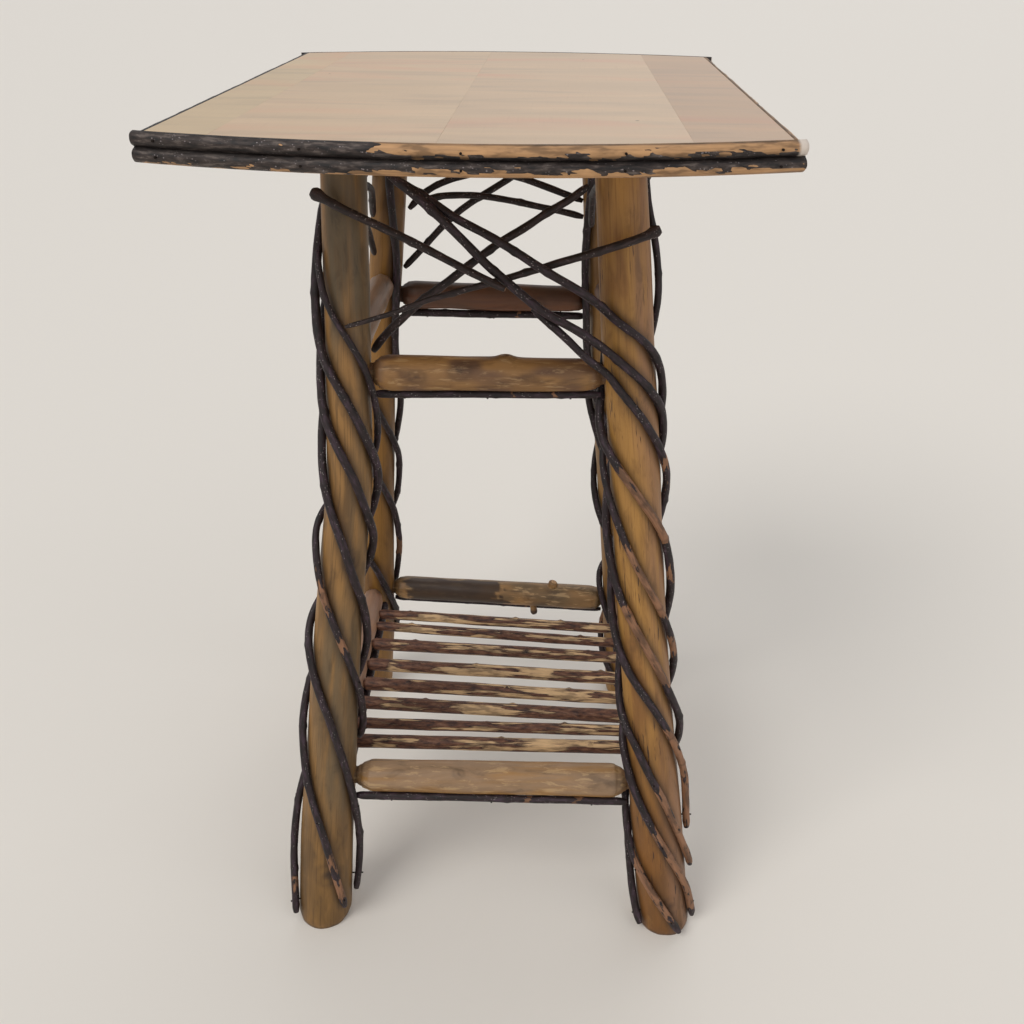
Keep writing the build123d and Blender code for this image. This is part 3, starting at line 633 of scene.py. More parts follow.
front_lattice = {
    "front_lattice_twig_a": (
        free((-132, -119, 717), (-111, -121, 706), (-90, -123, 697), (-54, -128, 682), (-20, -133, 666),
             (-1, -137, 658), (17, -142, 651)), (3.5, 2.9), ()),
    "front_lattice_twig_b": (
        free((134, -123, 694), (122, -124, 688), (89, -125, 677), (59, -125, 668), (28, -126, 658),
             (2, -126, 650), (-44, -127, 637), (-70, -130, 627), (-111, -134, 615)), (3.5, 1.9),
        ()),
    "front_lattice_twig_c": (
        free((79, -93, 719), (64, -96, 708), (45, -99, 698), (30, -101, 687), (16, -102, 680),
             (0, -104, 669), (-34, -107, 643), (-58, -107, 625), (-67, -105, 615), (-80, -101, 603),
             (-92, -95, 588), (-97, -92, 580)), (3.1, 3.5), ()),
}
back_lattice = (
    (free((-97, 106, 595), (-76, 106, 616), (-58, 105, 637), (-40, 104, 653), (-20, 104, 666),
          (12, 103, 686), (44, 102, 714)), (3.3, 3.2), ()),
    (free((-88, 95, 656), (-73, 94, 672), (-58, 93, 680), (-44, 92, 686), (-10, 92, 694), (20, 92, 687),
          (44, 92, 679), (79, 94, 666)), (3.3, 3.2), ()),
    (free((-72, 84, 666), (-60, 84, 671), (-22, 84, 672), (14, 84, 667), (49, 84, 660), (80, 85, 653)),
     (3.2, 3.1), ()),
)
left_lattice = (
    (free((-126, 112, 693), (-128, 86, 690), (-133, 30, 672), (-137, -18, 653), (-138, -58, 634)),
     (3.3, 3.1), ()),
    (free((-118, -67, 722), (-122, -24, 694), (-119, 36, 650), (-122, 77, 616)), (3.3, 3.0), ()),
    (free((-121, 77, 653), (-114, 40, 686), (-113, -10, 701), (-113, -61, 684)), (3.2, 3.0), ()),
)
right_lattice = (
    (free((131, -66, 733), (130, -22, 712), (127, 40, 684), (124, 84, 664), (123, 116, 655)), (3.3, 3.1), ()),
    (free((95, 64, 716), (99, 18, 682), (106, -36, 644), (111, -74, 616)), (3.2, 3.1), ()),
    (free((88, 72, 648), (87, 34, 686), (90, -16, 704), (94, -60, 692)), (3.2, 3.0), ()),
)

# The points of the switches made so far, for the painted shade beside each on its leg.
switch_points = []
twig_step = 2.2
twig_segments = 14
scar_spacing = 62


def twig(shell, line, ends, peeled, seed, knob):
    """A twig with bark: a taper, small scars where buds grew, and stretches with the bark off.
    knob is how much its first end is thicker."""
    line = softened(resample(line, twig_step), 22)
    wander = [noise(distances(line) / 34, seed * 3.1 + k, 0.5, seed) for k in range(3)]
    wander = np.stack(wander, axis=1) * 0.25
    wander[:4] = 0
    wander[-4:] = 0
    line = line + wander
    run = distances(line)
    length = run[-1]
    rounding = 0.3 * bump(run, 1.5 if knob else 3.5) + 0.3 * bump(length - run, 3.5)
    radii = np.interp(run, (0, length), ends) * (1 + knob * bump(run - 4, 5) - rounding)
    scar_count = int(length / scar_spacing)
    scars = [(0.5 + k) * scar_spacing + 20 * float(lattice(k, seed, 3, 7)) for k in range(scar_count)]

    def relief(s, a):
        height = 0.22 * surface(s, a, 1.2, 16, seed, layered) + 0.12 * surface(s, a, 4, 9, seed + 5)
        for k, place in enumerate(scars):
            side = 2.4 * k + seed
            height = height + 0.55 * bump(s - place, 3.2) * smooth(-0.2, 0.9, np.cos(a - side))
            height = height + 0.18 * bump(s - place, 2.0)
        return height

    def paint(s, a, points):
        peel = 0 * s
        ragged = surface(s, a, 1.6, 30, seed + 9, layered)
        for low, high, strength in peeled:
            first = smooth(low * length - 3, low * length + 3, s + 7 * ragged)
            last = 1 - smooth(high * length - 3, high * length + 3, s + 9 * ragged)
            peel = np.maximum(peel, strength * first * last * smooth(-0.75, 0.1, ragged + 0.5))
        peel = peel + 0.3 * smooth(0.7, 1.0, ragged)
        dark = sum((0.5 * bump(s - place, 1.6) for place in scars), 0 * s)
        return peel, np.clip(dark, 0, 1), 0 * s

    rod(shell, line, radii, twig_segments, 0.6, relief=relief, paint=paint)
    switch_points.extend(line.tolist())


def grouped(name, members, material, seed, knob=0):
    """One piece of one or more twigs, in the place of the node with its name."""
    shell = Shell()
    for k, (line, ends, peeled) in enumerate(members):
        twig(shell, line, ends, peeled, seed + k * 5, knob)
    shell.piece(f"{name}_bark", material, [name])


for number, (name, member) in enumerate(front_switches.items()):
    grouped(name, [member], bark_switch, 11 + number * 3)
grouped("back_left_switches", back_left_switches, bark_switch, 101)
grouped("back_right_switches", back_right_switches, bark_switch, 131)
switch_shade_finder = KDTree(len(switch_points))
for number, point in enumerate(switch_points):
    switch_shade_finder.insert(point, number)
switch_shade_finder.balance()
for number, (name, member) in enumerate(front_lattice.items()):
    grouped(name, [member], bark_lattice, 201 + number * 3, knob=(0.5, 0.4, 0)[number])
grouped("back_lattice", back_lattice, bark_lattice, 231)
grouped("left_lattice", left_lattice, bark_lattice, 261)
grouped("right_lattice", right_lattice, bark_lattice, 291)

# ---- legs


def turned_to(angle, centre):
    """How far an angle is from another, from -pi to pi."""
    return (angle - centre + pi) % (2 * pi) - pi


def knot_gap(a, angle, radius, away):
    """How far a place on a pole is from a knot, which is at an angle in degrees."""
    return np.sqrt((turned_to(a, radians(angle)) * radius) ** 2 + away**2)


# Knots on the legs: angle from the front towards the right, height on the leg, size and rise.
leg_knots = {
    "front_left": ((28, 412, 7, 1.0), (-20, 250, 6, 0.5), (12, 70, 9, 0.9), (150, 300, 7, 0.8)),
    "front_right": ((10, 640, 4, 0.3), (-30, 330, 6, 0.4), (20, 40, 7, 0.6), (160, 520, 8, 1.0)),
    "back_left": ((30, 470, 6, 0.6), (190, 560, 7, 0.9), (170, 250, 8, 0.9)),
    "back_right": ((-40, 380, 6, 0.5), (200, 420, 7, 0.8), (140, 180, 8, 1.0)),
}
leg_knot_radius = 22
leg_step = 3
leg_segments = 64
leg_tenon_radius = 11.9
leg_tenon_rises = (-2, 8, 18.6)


def leg_piece(name, seed):
    heights = np.concatenate([np.arange(0, shoulder_height, leg_step), [shoulder_height]])
    line = softened(np.array([on_leg(name, z)[0] for z in heights]), 30)
    radii = softened(np.array([on_leg(name, z)[1] for z in heights]), 30)
    knots = leg_knots[name]

    def relief(s, a):
        height = uneven(s, a, seed, (0.55, 0.9, 110), (0.35, 1.8, 46), (0.2, 5, 70), (0.07, 14, 50))
        for angle, place, size, rise in knots:
            gap = knot_gap(a, angle, leg_knot_radius, (s - place) * 0.7)
            height = height + rise * bump(gap, size) - 0.8 * rise * bump(gap, size * 0.35)
        facet = np.abs(noise(np.cos(a) * 2.6, np.sin(a) * 2.6, 0.5, seed + 8))
        height = height - (1.4 + 1.8 * facet) * bump(s, 4.0)
        return height - 0.3

    def paint(s, a, points):
        turn = np.degrees(turned_to(a, 0))
        ragged = 16 * surface(s, a, 1.5, 60, seed + 21)
        ragged_turn = turn + ragged
        rear = np.abs(turn)
        if name == "front_left":
            side = smooth(-44, -20, ragged_turn) * (1 - smooth(150, 175, turn))
            olive = smooth(110, 170, s + 2 * ragged) * (1 - smooth(330, 400, s)) * smooth(-70, 0, ragged_turn)
            grey = side * smooth(560, 640, s + 2 * ragged)
            grey = np.maximum(grey, 0.5 * smooth(0, 45, ragged_turn) * smooth(300, 420, s))
            grey = np.maximum(grey, 0.85 * olive) + 0.4 * smooth(150, 175, rear)
        elif name == "front_right":
            grey = 0.75 * smooth(-5, 40, ragged_turn) + 0.3 * smooth(140, 170, rear)
        elif name == "back_left":
            grey = 0.5 * smooth(10, 60, ragged_turn) * smooth(100, 300, s) + 0.3 * smooth(120, 160, rear)
        else:
            grey = 0.35 * smooth(-20, 40, ragged_turn) + 0.2 * surface(s, a, 1, 80, seed)
        darkening = 0 * s
        for angle, place, size, rise in knots:
            gap = knot_gap(a, angle, leg_knot_radius, (s - place) * 0.8)
            darkening = darkening + 0.9 * rise * bump(gap, size * 0.5)
            darkening = darkening + 0.35 * rise * bump(gap - size * 1.1, size * 0.28)
        # Painted shade beside the switches, with some finish pooled there: the leg darkens within about 11 mm
        # of a switch's middle line.
        near = np.array([switch_shade_finder.find(point)[2] for point in points.reshape(-1, 3)]).reshape(s.shape)
        darkening = darkening + 0.66 * (1 - smooth(4.0, 11.5 + 0.9 * surface(s, a, 3, 14, seed + 31), near))
        darkening = darkening + 0.5 * (1 - smooth(0.5, 6, s)) * smooth(-0.2, 0.6, surface(s, a, 4, 8, seed + 41))
        return np.clip(grey, 0, 1), np.clip(darkening, 0, 1), 0 * s

    shell = Shell()
    rod(shell, line, radii, leg_segments, 0, relief=relief, paint=paint, level=True)
    head = legs[name][1]
    tenon = np.array([(*head, shoulder_height + rise) for rise in leg_tenon_rises], float)
    rod(shell, tenon, [leg_tenon_radius] * len(tenon), 32, 0, level=True)
    shell.piece(f"{name}_pole", leg_materials[name], [f"{name}_leg"])


for number, name in enumerate(legs):
    leg_piece(name, 401 + number * 50)

# ---- rails

# Each rail: its two legs, its heights there, and its radii near its two ends.
rails = {
    "lower_front_rail": ("front_left", "front_right", 167, 167, 16, 16.5),
    "lower_back_rail": ("back_left", "back_right", 170, 160, 14.5, 15.5),
    "lower_left_rail": ("front_left", "back_left", 172, 172, 14, 13),
    "lower_right_rail": ("front_right", "back_right", 172, 172, 14, 13),
    "upper_front_rail": ("front_left", "front_right", 568, 569, 15, 14),
    "upper_back_rail": ("back_left", "back_right", 566, 563, 14.5, 13.2),
    "upper_left_rail": ("front_left", "back_left", 583, 583, 14, 13),
    "upper_right_rail": ("front_right", "back_right", 583, 583, 13, 14),
}
rail_tenon_radius = 8.5
rail_tenon_stop = 9.5
rail_shoulder_gap = 2
rail_taper = 12
rail_step = 2.5
rail_segments = 48


def rail_frame(name):
    """A rail's first end in the middle of its leg, its direction, its length to the middle of the other leg,
    how far its shoulders stand from both ends, and its radii."""
    start_leg, end_leg, start_height, end_height, start_radius, end_radius = rails[name]
    start, near = on_leg(start_leg, start_height)
    end, far = on_leg(end_leg, end_height)
    length = float(np.linalg.norm(end - start))
    along = (end - start) / length
    return start, along, length, near + rail_shoulder_gap, far + rail_shoulder_gap, start_radius, end_radius


rail_materials = pole_materials("wood_{}", {
    "lower_front_rail": ((154, 112, 58), (118, 80, 40), (140, 113, 86), 0.2, dict(blotch=0.6, cream=0.35)),
    "lower_back_rail": ((158, 118, 70), (118, 82, 48), (100, 80, 56), 0.4, dict(cream=0.4)),
    "lower_left_rail": ((164, 124, 96), (132, 94, 70), (142, 112, 92), 0.2, {}),
    "lower_right_rail": ((150, 110, 76), (114, 80, 54), (120, 96, 76), 0.3, {}),
    "upper_front_rail": ((144, 106, 62), (100, 67, 40), (104, 75, 53), 0.3, dict(blotch=0.8, cream=0.28)),
    "upper_back_rail": ((108, 68, 44), (76, 46, 31), (80, 57, 45), 0.3, {}),
    "upper_left_rail": ((146, 112, 84), (114, 84, 62), (132, 106, 84), 0.1, {}),
    "upper_right_rail": ((132, 92, 60), (98, 66, 44), (100, 76, 60), 0.3, {}),
}, 21)

# Knots on the rails: share of the length, angle from the top towards the front (or, on a side rail, towards
# the right), size and rise.
rail_knots = {
    "lower_front_rail": ((0.4, 35, 4.5, 1.1), (0.86, 60, 3, 0.4)),
    "lower_back_rail": ((0.35, 70, 6, 0.6), (0.62, 80, 4, 0.5)),
    "lower_left_rail": ((0.3, 60, 6, 0.6), (0.75, -60, 5, 0.6)),
    "lower_right_rail": ((0.45, 0, 6, 0.6),),
    "upper_front_rail": ((0.56, 0, 6.5, 4.2), (0.4, 60, 8, 0.9), (0.25, 80, 6, 0.5)),
    "upper_back_rail": ((0.3, 40, 6, 0.6), (0.7, 90, 5, 0.6)),
    "upper_left_rail": ((0.6, 90, 6, 0.5),),
    "upper_right_rail": ((0.35, -70, 6, 0.6),),
}
# Stubs of branches on the lower back rail: share of the length, angle from the top, reach, radius and lean.
rail_stubs = ((0.7, 4, 6.5, 5.4, 0.35), (0.635, 168, 13, 3.9, 0.12))
stub_root = 11
stub_rings = 9


def add_stub(shell, root, angle, reach, thick, lean):
    direction = np.array([lean, -sin(radians(angle)) * 0.6, cos(radians(angle))])
    direction = direction / np.linalg.norm(direction)
    line = root + direction * np.linspace(stub_root, stub_root + 3.5 + reach, stub_rings)[:, None]
    radii = np.interp(np.linspace(0, 1, stub_rings), (0, 0.3, 0.85, 1), np.array((1.7, 1, 1.12, 0.8)) * thick)

    def relief(s, a):
        return 0.5 * surface(s, a, 2, 4, 71)

    def paint(s, a, points):
        return 0 * s + 0.4, smooth(8, 13, s), 0 * s

    rod(shell, line, radii, 16, 0.5, (0.2, 1, 0.1), relief, paint)


def rail_piece(name, seed):
    start, along, length, near, far, start_radius, end_radius = rail_frame(name)
    shoulder = length - far
    first = rail_tenon_stop + 0.5
    last = length - rail_tenon_stop - 0.5
    tenon = rail_tenon_radius - 0.1
    swell = 0.5 if name == "lower_front_rail" else 0.78
    turns = (near + 1, near + 0.4 * rail_taper, near + rail_taper)
    stops = (first, near, *turns, *(shoulder + near - place for place in reversed(turns)), shoulder, last)
    sizes = (tenon, tenon, tenon + 0.8, tenon + (start_radius - tenon) * swell, start_radius,
             end_radius, tenon + (end_radius - tenon) * swell, tenon + 0.8, tenon, tenon)
    places = np.unique(np.concatenate([np.arange(first, last, rail_step), np.array(stops)]))
    line = start + along * places[:, None]
    rounded = softened(np.interp(places, stops, sizes), 3)
    facets = 7 + seed % 3
    knots = rail_knots[name]

    def by_ends(place, reach, full):
        """1 near the two shoulders, and 0 from a reach on towards the middle."""
        start_side = smooth(near + reach, near + full, place)
        return np.maximum(start_side, smooth(shoulder - reach, shoulder - full, place))

    def section(radius, s, a):
        wedge = 2 * pi / facets
        flat = np.cos(wedge / 2) / np.cos((a + seed) % wedge - wedge / 2)
        return radius * (1 + (flat - 1) * by_ends(s + first, rail_taper + 6, 4))

    def relief(s, a):
        place = s + first
        clear = smooth(near, near + rail_taper, place) * smooth(shoulder, shoulder - rail_taper, place)
        height = uneven(s, a, seed, (0.7, 0.9, 60), (0.4, 2, 26), (0.16, 6, 30))
        for share, angle, size, rise in knots:
            gap = knot_gap(a, angle, start_radius, (place - share * length) * 0.8)
            height = height + rise * bump(gap, size) - 0.5 * rise * bump(gap, size * 0.3)
        return (height - 0.35) * clear

    def paint(s, a, points):
        place = s + first
        ragged = surface(s, a, 1.6, 22, seed + 11)
        grey = smooth(0.1, 0.9, 0.5 + 0.6 * ragged + 0.25 * np.cos(a))
        darkening = 0 * s
        if name == "lower_front_rail":
            grey = smooth(-0.6, 0.05, np.cos(a) + 0.35 * ragged)
        if name == "lower_back_rail":
            edge = place / length + 0.035 * surface(s, a, 2.2, 9, seed + 14, layered)
            patch = smooth(0.13, 0.15, edge) * smooth(0.53, 0.51, edge)
            aside = np.abs(turned_to(a, radians(75))) + 0.35 * ragged
            patch = patch * smooth(1.5, 1.35, aside)
            darkening = patch + 0.35 * smooth(0.3, 0.9, ragged)
        if name == "upper_front_rail":
            grey = smooth(0.2, 0.8, 0.5 + 0.9 * ragged)
        for share, angle, size, _ in knots:
            gap = knot_gap(a, angle, start_radius, (place - share * length) * 0.8)
            darkening = darkening + 0.8 * bump(gap, size * 0.32) + 0.3 * bump(gap - size * 0.9, size * 0.3)
        grey = np.maximum(grey, 0.8 * by_ends(place, rail_taper, 6))
        darkening = np.maximum(darkening, 0.5 * by_ends(place, 3, 0))
        return np.clip(grey, 0, 1), np.clip(darkening, 0, 1), 0 * s

    shell = Shell()
    rod(shell, line, rounded, rail_segments, 0.05, (0, 0, 1), relief, paint, section)
    if name == "lower_back_rail":
        for share, *stub in rail_stubs:
            add_stub(shell, start + along * length * share, *stub)
    shell.piece(f"{name}_pole", rail_materials[name], [name])


for number, name in enumerate(rails):
    rail_piece(name, 601 + number * 31)

# ---- twigs along the rails, and ledgers

# Twigs under the rails: radius, and angle from straight below towards the front.
rail_twigs = {
    "lower_front_rail": (4, 32),
    "lower_back_rail": (3.5, -8),
    "upper_front_rail": (3.5, 4),
    "upper_back_rail": (4, 4),
}
rail_twig_peeled = ((0.62, 0.64, 0.7), (0.8, 0.83, 0.6))
rail_twig_rings = 60
twig_gap = 0.2
ledger_radius = 5.5
spindle_radii = (6, 5.6, 6.8, 7.2, 7.2, 7.2, 5.8, 7)


def along_rail(rail, name, radius, direction, seed):
    """A twig along a rail, on the side of it that a direction names."""
    start, along, length, near, far, start_radius, end_radius = rail_frame(rail)
    first = start + along * (near - 1) + direction * (start_radius + radius + twig_gap)
    last = start + along * (length - far) + direction * (end_radius + radius + twig_gap)
    shares = np.linspace(0, 1, rail_twig_rings)
    line = first + (last - first) * shares[:, None]
    sway = 0.5 * noise(shares * 6, seed, 0.5, seed) * np.sin(pi * shares)
    line = line + direction * (sway[:, None] - twig_gap)
    member = (line, (radius, radius * 0.94), rail_twig_peeled)
    grouped(name, [member], bark_switch, seed)


for number, (rail, (radius, turn)) in enumerate(rail_twigs.items()):
    downwards = np.array([0, -sin(radians(turn)), -cos(radians(turn))])
    along_rail(rail, f"{rail}_twig", radius, downwards, 801 + 13 * number)
for side, name in ((1, "left"), (-1, "right")):
    reach = min(rails[f"lower_{name}_rail"][-2:]) + ledger_radius + twig_gap
    drop = max(spindle_radii) + ledger_radius + twig_gap
    inwards = np.array([side * cos(asin(drop / reach)), 0, -drop / reach])
    along_rail(f"lower_{name}_rail", f"{name}_shelf_ledger", ledger_radius, inwards, 871 + 13 * side)

# ---- shelf spindles

spindle_pitch = 30.6
shelf_middle = -14.5
spindle_left_drift = (6.7, 13.5, 8.6, 1.4, -2.1, -3.4, -6, -2.7)
spindle_right_drift = (-10, -7.6, -4.2, -11, -14, -12.8, -3.8, 1.9)
spindle_bare_bias = (0.12, 0.05, 0.1, 0.35, 0.2, 0, 0.08, 0.28)
spindle_stop = 4.5
spindle_tenon_radius = 3.9
spindle_step = 1.6
spindle_segments = 30
bark_spindle = bark("bark_spindle", 13, ((52, 30, 23), (92, 58, 42), (120, 84, 62)), (198, 164, 122),
                    (1150, 22), silver=0.1)


def side_rail_at(name, y):
    """The middle of a side rail at a place in Y, and its radius there."""
    start, along, length, near, far, start_radius, end_radius = rail_frame(name)
    place = (y - start[1]) / along[1]
    run = length - near - far - 2 * rail_taper
    part_way = min(max((place - near - rail_taper) / run, 0), 1)
    return start + along * place, start_radius + (end_radius - start_radius) * part_way


def spindle_piece(number):
    y = shelf_middle + (3.5 - number) * spindle_pitch
    left, left_radius = side_rail_at("lower_left_rail", y + spindle_left_drift[number])
    right, right_radius = side_rail_at("lower_right_rail", y + spindle_right_drift[number])
    length = float(np.linalg.norm(right - left))
    along = (right - left) / length
    radius = spindle_radii[number]
    thin = spindle_tenon_radius
    seed = 901 + number * 17
    low = left_radius + 1
    high = length - right_radius - 1
    last = length - spindle_stop
    stops = (spindle_stop, low - 2, low + 2, high - 2, high + 2, last)
    places = np.unique(np.concatenate([np.arange(spindle_stop, last, spindle_step), np.array(stops)]))
    line = left + along * places[:, None]
    middle = np.sin(pi * places / length)
    line[:, 2] += 0.45 * noise(places / 70, number, 0.5, seed) * middle
    line[:, 1] += 0.6 * noise(places / 80, number, 4.5, seed) * middle
    body = np.interp(places, stops, (thin, thin, radius, radius, thin, thin))
    # Nubs where buds grew: a place along the spindle and an angle.
    nubs = [(length * (0.2 + 0.3 * k) + 24 * float(lattice(k, number, 1, 5)),
             60 * float(lattice(k, number, 2, 5))) for k in range(3)]

    def streaks(s, a):
        """Where the bark has come off, in long streaks."""
        value = surface(s, a, 1.8, 34, seed, layered)
        bias = 0.3 * noise(0.3, number, s / 70, seed + 5) + spindle_bare_bias[number]
        return smooth(-0.9, 0.9, value + bias) * smooth(low + 4, low + 30, s + spindle_stop) * 0.56

    def relief(s, a):
        height = 0.35 * surface(s, a, 1, 22, seed + 7) - 0.5 * streaks(s, a)
        run = s + spindle_stop
        for place, angle in nubs:
            height = height + 1.5 * bump(knot_gap(a, angle, radius, run - place), 2.6)
        return height * smooth(low - 1, low + 2, run) * smooth(high + 1, high - 2, run)

    def paint(s, a, points):
        gaps = [knot_gap(a, angle, radius, s + spindle_stop - place) for place, angle in nubs]
        dark = sum(0.7 * bump(gap, 1.6) for gap in gaps)
        return streaks(s, a), np.clip(dark, 0, 1), 0 * s

    shell = Shell()
    rod(shell, line, body, spindle_segments, 0.05, (0, 0, 1), relief, paint)
    shell.piece(f"spindle_{number + 1}", bark_spindle, [f"shelf_spindle_{number + 1}"])


for number in range(len(spindle_radii)):
    spindle_piece(number)

# ---- top boards


def end_at(x):
    """Half the depth of the top at a place in X."""
    return arc_middle + sqrt(arc_radius**2 - (x - top_middle) ** 2)


# Small dark knots in the boards: X, Y and size.
pin_knots = ((-150, 65, 1.5), (108, -175, 1.9), (77, 205, 1.7))
pin_knot_colour = linear(84, 56, 36)


def board_wood(name, tone, seed):
    m = Maker(name)
    curl = m.noise(m.stretched((6, 40, 20), (seed, seed * 0.3, 0)), 4, 0.55, 0.6)
    cloud = m.noise(m.stretched((5, 16, 9), (seed * 0.4, seed, 0)), 3, 0.5, 0.4)
    fibre = m.noise(m.stretched((700, 26, 60)), 2, 0.5)
    wood = m.ramp(curl, [(0.3, shaded(tone, 0.84)), (0.52, tone), (0.72, shaded(tone, 1.09))])
    wood = m.over(wood, shaded(tone, (1.06, 0.86, 0.84)), m.step(cloud, 0.5, 0.75), 0.9)
    wood = m.over(wood, shaded(tone, (0.86, 0.86, 0.84)), m.step(cloud, 0.5, 0.3), 0.4)
    wood = m.over(wood, shaded(tone, 0.6), m.step(fibre, 0.55, 0.75), 0.09)
    for x, y, size in pin_knots:
        ends = {0: m.attribute("run"), 1: (x * MM, y * MM, table_height * MM)}
        gap = m.node("ShaderNodeVectorMath", ends, operation="DISTANCE").outputs["Value"]
        wood = m.over(wood, pin_knot_colour, m.step(gap, size * MM, size * MM / 2.4), 0.85)
    rough = m.math("MULTIPLY_ADD", curl, 0.12, 0.34)
    height = m.math("ADD", m.times(curl, 0.5), fibre)
    return m.finish(wood, rough, height, 0.12, 0.0004, coat=0.12, coat_rough=0.35, specular=0.3)


board_step = 6
board_rows = 97
seam_share = 0.06
# The layers of a board from its underside to its top: height from the table's top, inset and unevenness.
board_layers = (
    (-board_thickness, 0.6, 0),
    (-board_thickness + 0.6, 0.15, 0),
    (-0.9, 0.15, 0),
    (-0.35, 0.7, 0.04),
)


def top_board(number, low, width, tone):
    """A board with bowed ends. Its edges are eased, and less so at a seam than at the top's own edges."""
    across = np.linspace(0, 1, max(int(width / board_step), 8) + 1)
    deep = np.linspace(-1, 1, board_rows)
    left_share = 1 if number == 0 else seam_share
    right_share = 1 if number == len(board_widths) - 1 else seam_share
    columns, rows = len(across), len(deep)

    def sheet(rise, inset, swell):
        points = []
        for v in deep:
            for u in across:
                x = low + inset * left_share + (width - inset * (left_share + right_share)) * u
                y = v * (end_at(x) - inset)
                uneven = swell * float(noise(x / 60, y / 50, number, 77)) if swell else 0
                points.append((x, y, table_height + rise + uneven))
        return np.array(points)

    def at(layer, i, j):
        return (layer * rows + i) * columns + j

    faces = []
    for i in range(rows - 1):
        for j in range(columns - 1):
            faces.append((at(0, i, j), at(0, i + 1, j), at(0, i + 1, j + 1), at(0, i, j + 1)))
            faces.append((at(3, i, j), at(3, i, j + 1), at(3, i + 1, j + 1), at(3, i + 1, j)))
    rim = [(0, j) for j in range(columns)] + [(i, columns - 1) for i in range(1, rows)]
    rim += [(rows - 1, j) for j in range(columns - 2, -1, -1)] + [(i, 0) for i in range(rows - 2, 0, -1)]
    for lower in range(3):
        for (i, j), (k, n) in zip(rim, rim[1:] + rim[:1]):
            faces.append((at(lower, i, j), at(lower, k, n), at(lower + 1, k, n), at(lower + 1, i, j)))
    # Of the two middle rings only the rim is used.
    used = sorted({v for face in faces for v in face})
    order = {v: n for n, v in enumerate(used)}
    faces = [tuple(order[v] for v in face) for face in faces]
    points = np.concatenate([sheet(*layer) for layer in board_layers])[used]
    shell = Shell()
    shell.add([(points, points, np.zeros((len(points), 4)) + (0, 0, 0, 1))], faces)
    label = f"board_{number + 1}"
    wood = board_wood(f"wood_{label}", tone, 3.1 + number * 4.7)
    shell.piece(label, wood, [f"top_{label}"], smooth_faces=False)


tones = ((198, 173, 137), (200, 172, 139), (196, 168, 136), (180, 148, 116))
low = top_middle - boards_width / 2
for number, (width, tone) in enumerate(zip(board_widths, tones)):
    top_board(number, low, width, linear(*tone))
    low += width

# ---- the rim of split saplings

rim_back = 1
bowed_rings = 190
straight_rings = 180
rim_segments = 28


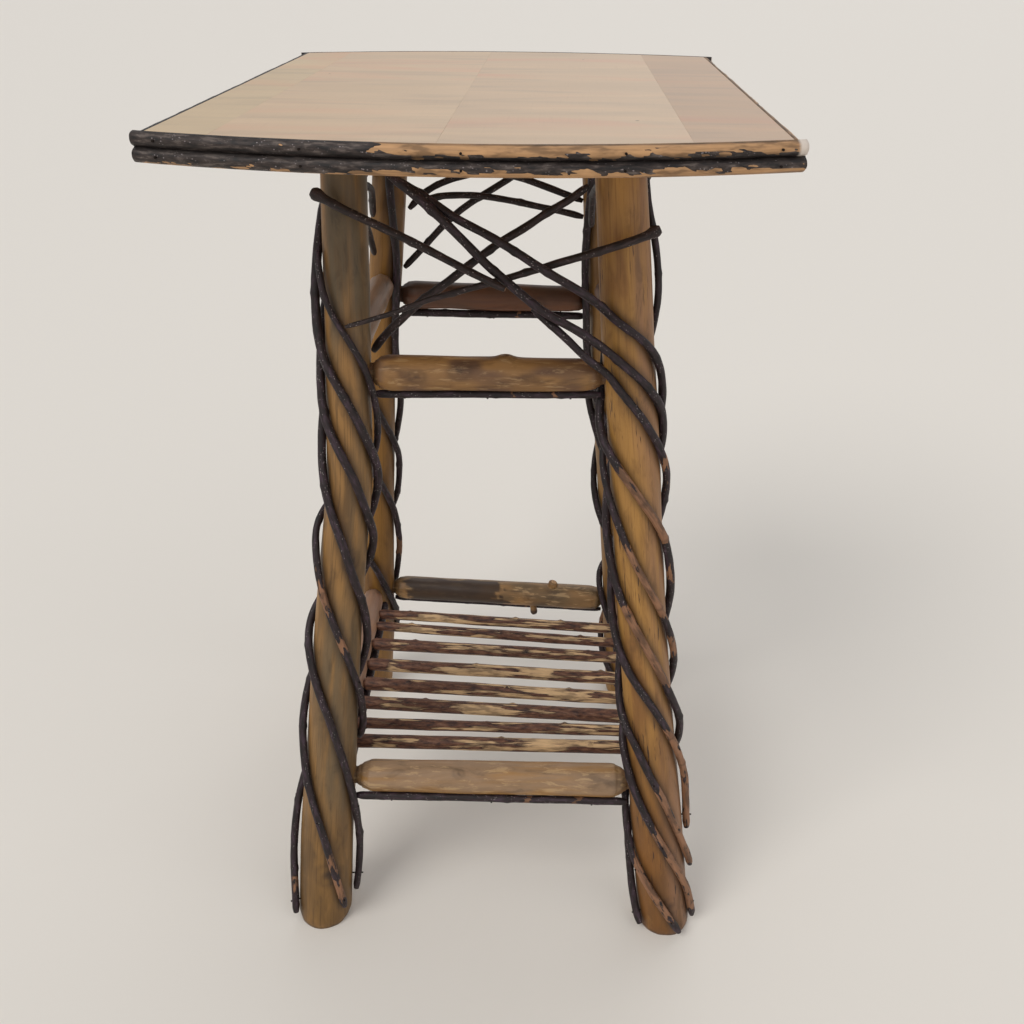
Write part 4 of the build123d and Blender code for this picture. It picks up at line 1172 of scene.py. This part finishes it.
def rim_piece(side, row, seed):
    """One split sapling: its flat back is against the boards, which is at angle -90."""
    centre = table_height - trim_row_height * (0.5 if row == "upper" else 1.5)
    sign = -1 if side in ("front", "left") else 1
    if side in ("front", "back"):
        half = asin((boards_width / 2 + trim_depth + trim_overhang - 0.4) / (arc_radius + trim_depth))
        turns = np.linspace(-half, half, bowed_rings)
        radius = arc_radius + rim_back
        x = top_middle + radius * np.sin(turns)
        y = sign * (arc_middle + radius * np.cos(turns))
    else:
        y_end = board_side_length / 2 - 0.3
        x = np.full(straight_rings, top_middle + sign * (boards_width / 2 + rim_back))
        y = np.linspace(-y_end, y_end, straight_rings) * sign
    line = np.stack([x, y, np.full(len(x), centre)], axis=1)
    if side == "back":
        line = line[::-1]
    length = float(distances(line)[-1])

    def section(radius, s, a):
        inwards = -np.sin(a)
        back = np.minimum(radius, (rim_back - 0.05) / np.maximum(inwards, 0.02))
        return np.where(inwards > 0.02, back, radius)

    def peel(s, a):
        """Where the bark has come off. The upper front piece is bare from over a third of its length on."""
        x = np.cos(a)
        share = s / length
        rough = surface(s, a, 1.6, 15, seed + 5, layered)
        fine = surface(s, a, 2.4, 7, seed + 6, layered)
        if side == "front" and row == "upper":
            bare = smooth(0.35, 0.4, share + 0.03 * rough)
            kept = smooth(0.0, 0.35, -x * 1.1 + 0.7 * rough + 0.7 * fine - 0.1)
            return np.maximum(bare * (1 - kept), 0.9 * smooth(1.15, 1.35, rough + 0.2 * x))
        if side == "front":
            patch = smooth(0.3, 0.4, share)
            patch = patch + 0.35 * smooth(0.78, 0.8, share) * (1 - smooth(0.86, 0.89, share))
            value = smooth(0.0, 0.35, -x * 0.95 + 0.65 * rough + 0.6 * fine - 0.8 + 0.84 * patch)
            return value * (1 - 0.9 * smooth(0.15, 0.6, x - 0.3 * (patch - 1)))
        if side == "right":
            return 1 - smooth(0.75, 1.0, rough + 0.45 * smooth(0.8, 0.97, share))
        return smooth(0.85, 1.1, rough) if side == "left" else smooth(0.9, 1.2, rough)

    def relief(s, a):
        x, y = np.cos(a), np.sin(a)
        outside = smooth(-0.1, 0.4, y)
        height = uneven(s, a, seed, (0.28, 1.3, 18), (0.2, 3.5, 9))
        height = height - 0.34 - 0.35 * peel(s, a)
        meeting = -x if row == "upper" else x
        return height * outside - 0.05 + 0.35 * smooth(0.9, 1.0, meeting)

    def paint(s, a, points):
        x = np.cos(a)
        # Painted shade in the crease where the two rows meet (the bottom of the upper row, the top of the
        # lower row), and a dark line along the upper row's top edge against the boards.
        meeting_shade_and_edge_line = smooth(0.1, 0.7, -x) if row == "upper" else smooth(0.5, 0.95, x)
        if row == "upper":
            meeting_shade_and_edge_line = np.maximum(meeting_shade_and_edge_line, 0.9 * smooth(0.9, 0.99, x))
        rough = surface(s, a, 2, 12, seed + 15)
        cut = smooth(0.984, 0.988, s / length) if side == "front" and row == "upper" else 0 * s
        return np.clip(peel(s, a), 0, 1) * 1.2, np.clip((0.8 + 0.3 * rough) * meeting_shade_and_edge_line, 0, 1), cut

    shell = Shell()
    radii = np.full(len(line), trim_row_height / 2)
    rod(shell, line, radii, rim_segments, 0.12, (0, 0, 1), relief, paint, section)
    shell.piece(f"{side}_rim_{row}", bark_rim, [f"{side}_trim_{row}"])


for number, side in enumerate(("front", "back", "left", "right")):
    for layer, row in enumerate(("upper", "lower")):
        rim_piece(side, row, 1101 + number * 40 + layer * 13)

# ---- parts kept from the model


def steel(name, colour, rough_low):
    m = Maker(name)
    blotch = m.noise(m.node("ShaderNodeTexCoord").outputs["Object"], 3, 0.6, scale=900)
    tint = m.ramp(blotch, [(0.35, shaded(colour, 0.55)), (0.65, colour)], "LINEAR")
    m.shader.inputs["Metallic"].default_value = 0.9
    return m.finish(tint, m.math("MULTIPLY_ADD", blotch, 0.3, rough_low), blotch, 0.2, 0.0002)


cleat_wood = peeled_wood("wood_cleat", (176, 142, 100), (150, 116, 78), (150, 124, 96), 0, 41)
kept_nodes = {
    "front_cleat": cleat_wood,
    "back_cleat": cleat_wood,
    "brads": steel("steel_brads", linear(50, 42, 38), 0.5),
    "cleat_screws": steel("steel_screws", linear(150, 146, 138), 0.3),
}
for name, material in kept_nodes.items():
    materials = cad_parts[name].data.materials
    materials.clear()
    materials.append(material)

# ---- floor, world and lamps

FLOOR_HALF = 30
corners = ((-1, -1), (1, -1), (1, 1), (-1, 1))
floor_mesh = bpy.data.meshes.new("floor")
floor_mesh.from_pydata([(FLOOR_HALF * x, FLOOR_HALF * y, 0) for x, y in corners], [], [(0, 1, 2, 3)])
floor_mesh.materials.append(Maker("floor_pale").finish(linear(226, 221, 213), 0.7, specular=0.2))
floor = bpy.data.objects.new("floor", floor_mesh)
scene.collection.objects.link(floor)

world = bpy.data.worlds.new("world")
world.use_nodes = True
scene.world = world
tree = world.node_tree
tree.nodes.clear()


def background(colour, strength):
    node = tree.nodes.new("ShaderNodeBackground")
    node.inputs["Color"].default_value = opaque(colour)
    node.inputs["Strength"].default_value = strength
    return node.outputs[0]


# The camera sees the pale wall, and the table is lit by a weaker, bluer light.
output = tree.nodes.new("ShaderNodeOutputWorld")
path = tree.nodes.new("ShaderNodeLightPath")
mixer = tree.nodes.new("ShaderNodeMixShader")
tree.links.new(path.outputs["Is Camera Ray"], mixer.inputs[0])
tree.links.new(background((0.98, 0.98, 1), 0.52), mixer.inputs[1])
tree.links.new(background(linear(228, 224, 217), 1), mixer.inputs[2])
tree.links.new(mixer.outputs[0], output.inputs[0])


def sun(name, place, strength, spread, colour=(1, 1, 1)):
    """A distant soft lamp that shines from a place towards the table."""
    data = bpy.data.lights.new(name, "SUN")
    data.energy = strength
    data.angle = radians(spread)
    data.color = colour
    obj = bpy.data.objects.new(name, data)
    scene.collection.objects.link(obj)
    obj.rotation_euler = (-Vector(place)).to_track_quat("-Z", "Y").to_euler()


sun("key", place=(-1, -1.1, 1.5), strength=1.25, spread=32, colour=(1, 0.98, 0.95))
sun("fill", place=(1.4, -1.2, 0.9), strength=0.45, spread=60)
sun("rear", place=(0.4, 1.5, 1.3), strength=0.5, spread=60)
